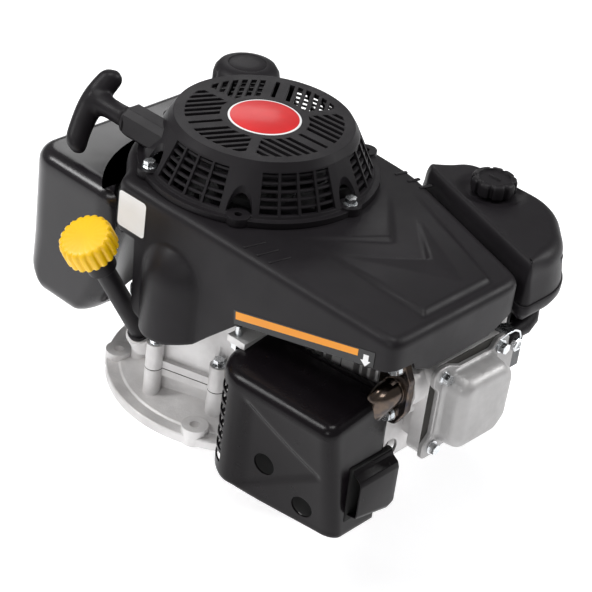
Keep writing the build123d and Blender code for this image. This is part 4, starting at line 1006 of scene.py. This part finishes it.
def pull_handle():
    """A bowed T-grip: round in section, wider in the middle, swept back at its ends."""
    along = Vector((0, 0.66, 0.75)).normalized()
    across = Vector((0, 0.75, -0.66)).normalized()
    data = bmesh.new()
    rings = []
    count = 26
    for i in range(count + 1):
        t = -42 + 69 * i / count
        end = min((t + 42) / 9.0, (27 - t) / 9.0)
        round_off = math.sqrt(max(0.0, 1 - (1 - min(1.0, end)) ** 2))
        bow = 9.0 * (t / 36.0) ** 2
        wide = (10.6 + 1.0 * smooth(1 - abs(t) / 26)) * max(0.05, round_off)
        ring = []
        for k in range(28):
            a = 2 * math.pi * k / 28
            forward = Vector((bow + wide * 0.92 * math.cos(a), 0, 0))
            ring.append(GRIP_CENTRE + along * (t * 1.12) + forward + across * (wide * math.sin(a)))
        rings.append(ring)
    skin(data, rings, close=(True, True))
    stem = [(13.5, 4), (10.5, 12), (9.0, 20), (8.6, 32), (9.0, 36), (9.0, 41), (7, 42.6)]
    lathe(data, stem, GRIP_CENTRE - Vector((2, 0, 0)), (1, 0, 0), steps=32)
    handle = plastic_piece(data, "grip", None, ("pull_handle",), 50)
    join_skins(handle, 1.6)
    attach(handle, "pull_handle")


def join_skins(piece, size):
    """Welds overlapping skins into one soft-blended skin by a fine grid."""
    grid = piece.modifiers.new("grid", "REMESH")
    grid.mode = "VOXEL"
    grid.voxel_size = size * MM
    grid.use_smooth_shade = True
    soft = piece.modifiers.new("soft", "SMOOTH")
    soft.factor = 0.5
    soft.iterations = 8
    look = piece.data.materials[0]
    bake(piece)
    piece.data.materials.clear()
    piece.data.materials.append(look)
    piece.data.shade_smooth()


def starter_rope():
    """A braided rope from the pulley to the handle; it runs between housing and handle and is fixed to no body.
    """
    data = bmesh.new()
    rings = []
    turns = [2 * math.pi * k / 12 for k in range(12)]
    _, y, z = GRIP_CENTRE
    for i in range(41):
        x = -128 + 60 * i / 40
        rings.append([(x, y + ROPE_R * math.cos(a), z + ROPE_R * math.sin(a)) for a in turns])
    skin(data, rings, close=(True, True))
    rope = piece_from(data, "starter_rope", MATERIALS["braided_rope"], None)
    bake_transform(rope)


# ---- badge ----
def badge():
    """The plain red disc in its white rim, in the middle of the starter."""
    data = bmesh.new()
    lathe(data, [(30.2, 256.2), (30.2, 256.75), (29.9, 256.95), (1, 256.95)], steps=96)
    piece_from(data, "badge_rim", LABEL_WHITE, "engine", ("centre_badge",))
    data = bmesh.new()
    lathe(data, [(28.4, 256.8), (28.4, 257.05), (28.2, 257.12), (1, 257.12)], steps=96)
    piece_from(data, "badge_face", MATERIALS["badge_red"], "engine")


# ---- valve cover ----
COVER_EDGE_R = 9.6
CLIP_SHEET = 1.6


def valve_cover():
    """A cast box on a flange: soft corners, one corner cut back."""
    data = bmesh.new()
    plan = [(-33, 86), (20, 85), (33, 98), (34, 140), (22, 151), (-33, 152)]
    outline = evenly(rounded(plan, [14, 16, 14, 14, 16, 14], 7), 2.0)
    eared = [(-46, 76), (-30, 76), (-14, 84), (26, 83), (30, 76), (45, 77), (46, 90), (55, 96), (55, 142),
             (46, 148), (45, 160), (30, 160), (24, 152), (-14, 153), (-30, 160), (-46, 160), (-46, 146),
             (-38, 138), (-38, 98), (-46, 90)]
    flange = evenly(rounded(eared, 5, 4), 2.0)
    rings = [[(x, y, z) for y, z in flange] for x in (236.6, 240)]
    rings.append([(240.8, y, z) for y, z in inward(flange, 0.8)])
    skin(data, rings, close=(True, True))
    wall = []
    for x, grow in ((240.4, -2.6), (241.2, -1.3), (242.6, -0.3), (245, 0), (252, 0.8)):
        wall.append([(x, y, z) for y, z in inward(outline, grow)])
    for k in range(1, 7):
        a = math.pi / 2 * k / 6
        turned = inward(outline, 0.8 + COVER_EDGE_R * (1 - math.cos(a)))
        wall.append([(252 + COVER_EDGE_R * math.sin(a), y, z) for y, z in turned])
    skin(data, wall, close=(True, True))
    piece_from(data, "cover_casting", SHADED_COVER_ALUMINIUM, "engine", ("valve_cover",), 40)


def breather_clip():
    """A bright strap clip and a black moulded elbow between the valve cover and the air cleaner's tray."""
    data = bmesh.new()
    path = [(26, 153), (33, 158.5), (42, 160.5), (52, 160), (59, 156), (62, 149.5), (60, 143), (54, 139)]
    outer = evenly(path, 2.0, closed=False)
    inner = []
    for i, (y, z) in enumerate(outer):
        y0, z0 = outer[max(0, i - 1)]
        y1, z1 = outer[min(len(outer) - 1, i + 1)]
        length = math.hypot(y1 - y0, z1 - z0)
        inner.append((y + (z1 - z0) / length * CLIP_SHEET, z - (y1 - y0) / length * CLIP_SHEET))
    loop = outer + inner[::-1]
    skin(data, [[(x, y, z) for y, z in loop] for x in (229, 241)], close=(True, True))
    piece_from(data, "breather_clip", MATERIALS["zinc_plate"], "engine", shade=40)
    data = bmesh.new()
    head = [(1, 0), (5.4, 0.2), (5.8, 1.4), (5.8, 4.0), (5.0, 5.0), (3.5, 5.2), (3, 4.2), (0.5, 4.2)]
    lathe(data, head, (241, 52, 147), (1, 0, 0), steps=6)
    piece_from(data, "breather_screw", MATERIALS["zinc_plate"], "engine", shade=30)
    data = bmesh.new()
    path = [(233, 48, 149.5), (233, 60, 150), (233, 72, 151.5), (231, 81, 154.5), (227, 87, 160),
            (223, 90, 168)]
    tube(data, path, (5.4, 6.6, 8.2, 8.8, 8.6, 8.4), 24)
    plastic_piece(data, "breather_elbow", "engine", shade=50)


# ---- exhaust elbow ----
def exhaust_elbow():
    """The bent pipe from the cylinder head down into the muffler, with its eight-sided flange."""
    data = bmesh.new()
    path = [(218, -61, 140), (217.8, -66, 139.6), (217, -70, 137.8), (215.4, -73, 134.5), (213, -74.6, 130),
            (209.5, -75.2, 124), (206, -75.2, 117), (203, -75, 108)]
    tube(data, path, (10.6, 10.8, 11.0, 11.0, 11.0, 10.9, 10.7, 10.5), 32)
    plate = [(203, 126), (212, 110), (224, 110), (233, 126), (233, 154), (224, 170), (212, 170), (203, 154)]
    outline = evenly(rounded(plate, 7, 5), 2)
    rings = [[(x, y, z) for x, z in inward(outline, r)] for y, r in ((-60.6, 0), (-65.6, 0), (-66.4, 0.9))]
    skin(data, rings, close=(True, True))
    steel = MATERIALS["heated_steel"]
    piece_from(data, "exhaust_elbow", steel, "engine", ("exhaust_pipe",), 40)


make_camera()
make_stage()
paint_cad_nodes()
# The control bracket sits in shade: its darkened zinc copy is painted shade.
paint(frame["nodes"]["control_bracket"], plated_steel("shaded_zinc", 0.12, (0.35, 0.5)))
blower_shroud()
bar_marks()
stickers()
muffler_guard()
muffler_can()
outlet_hood()
cleaner_lid()
cleaner_tray()
cleaner_knob()
fuel_tank()
fuel_cap()
oil_cap()
pull_handle()
starter_rope()
badge()
valve_cover()
breather_clip()
exhaust_elbow()
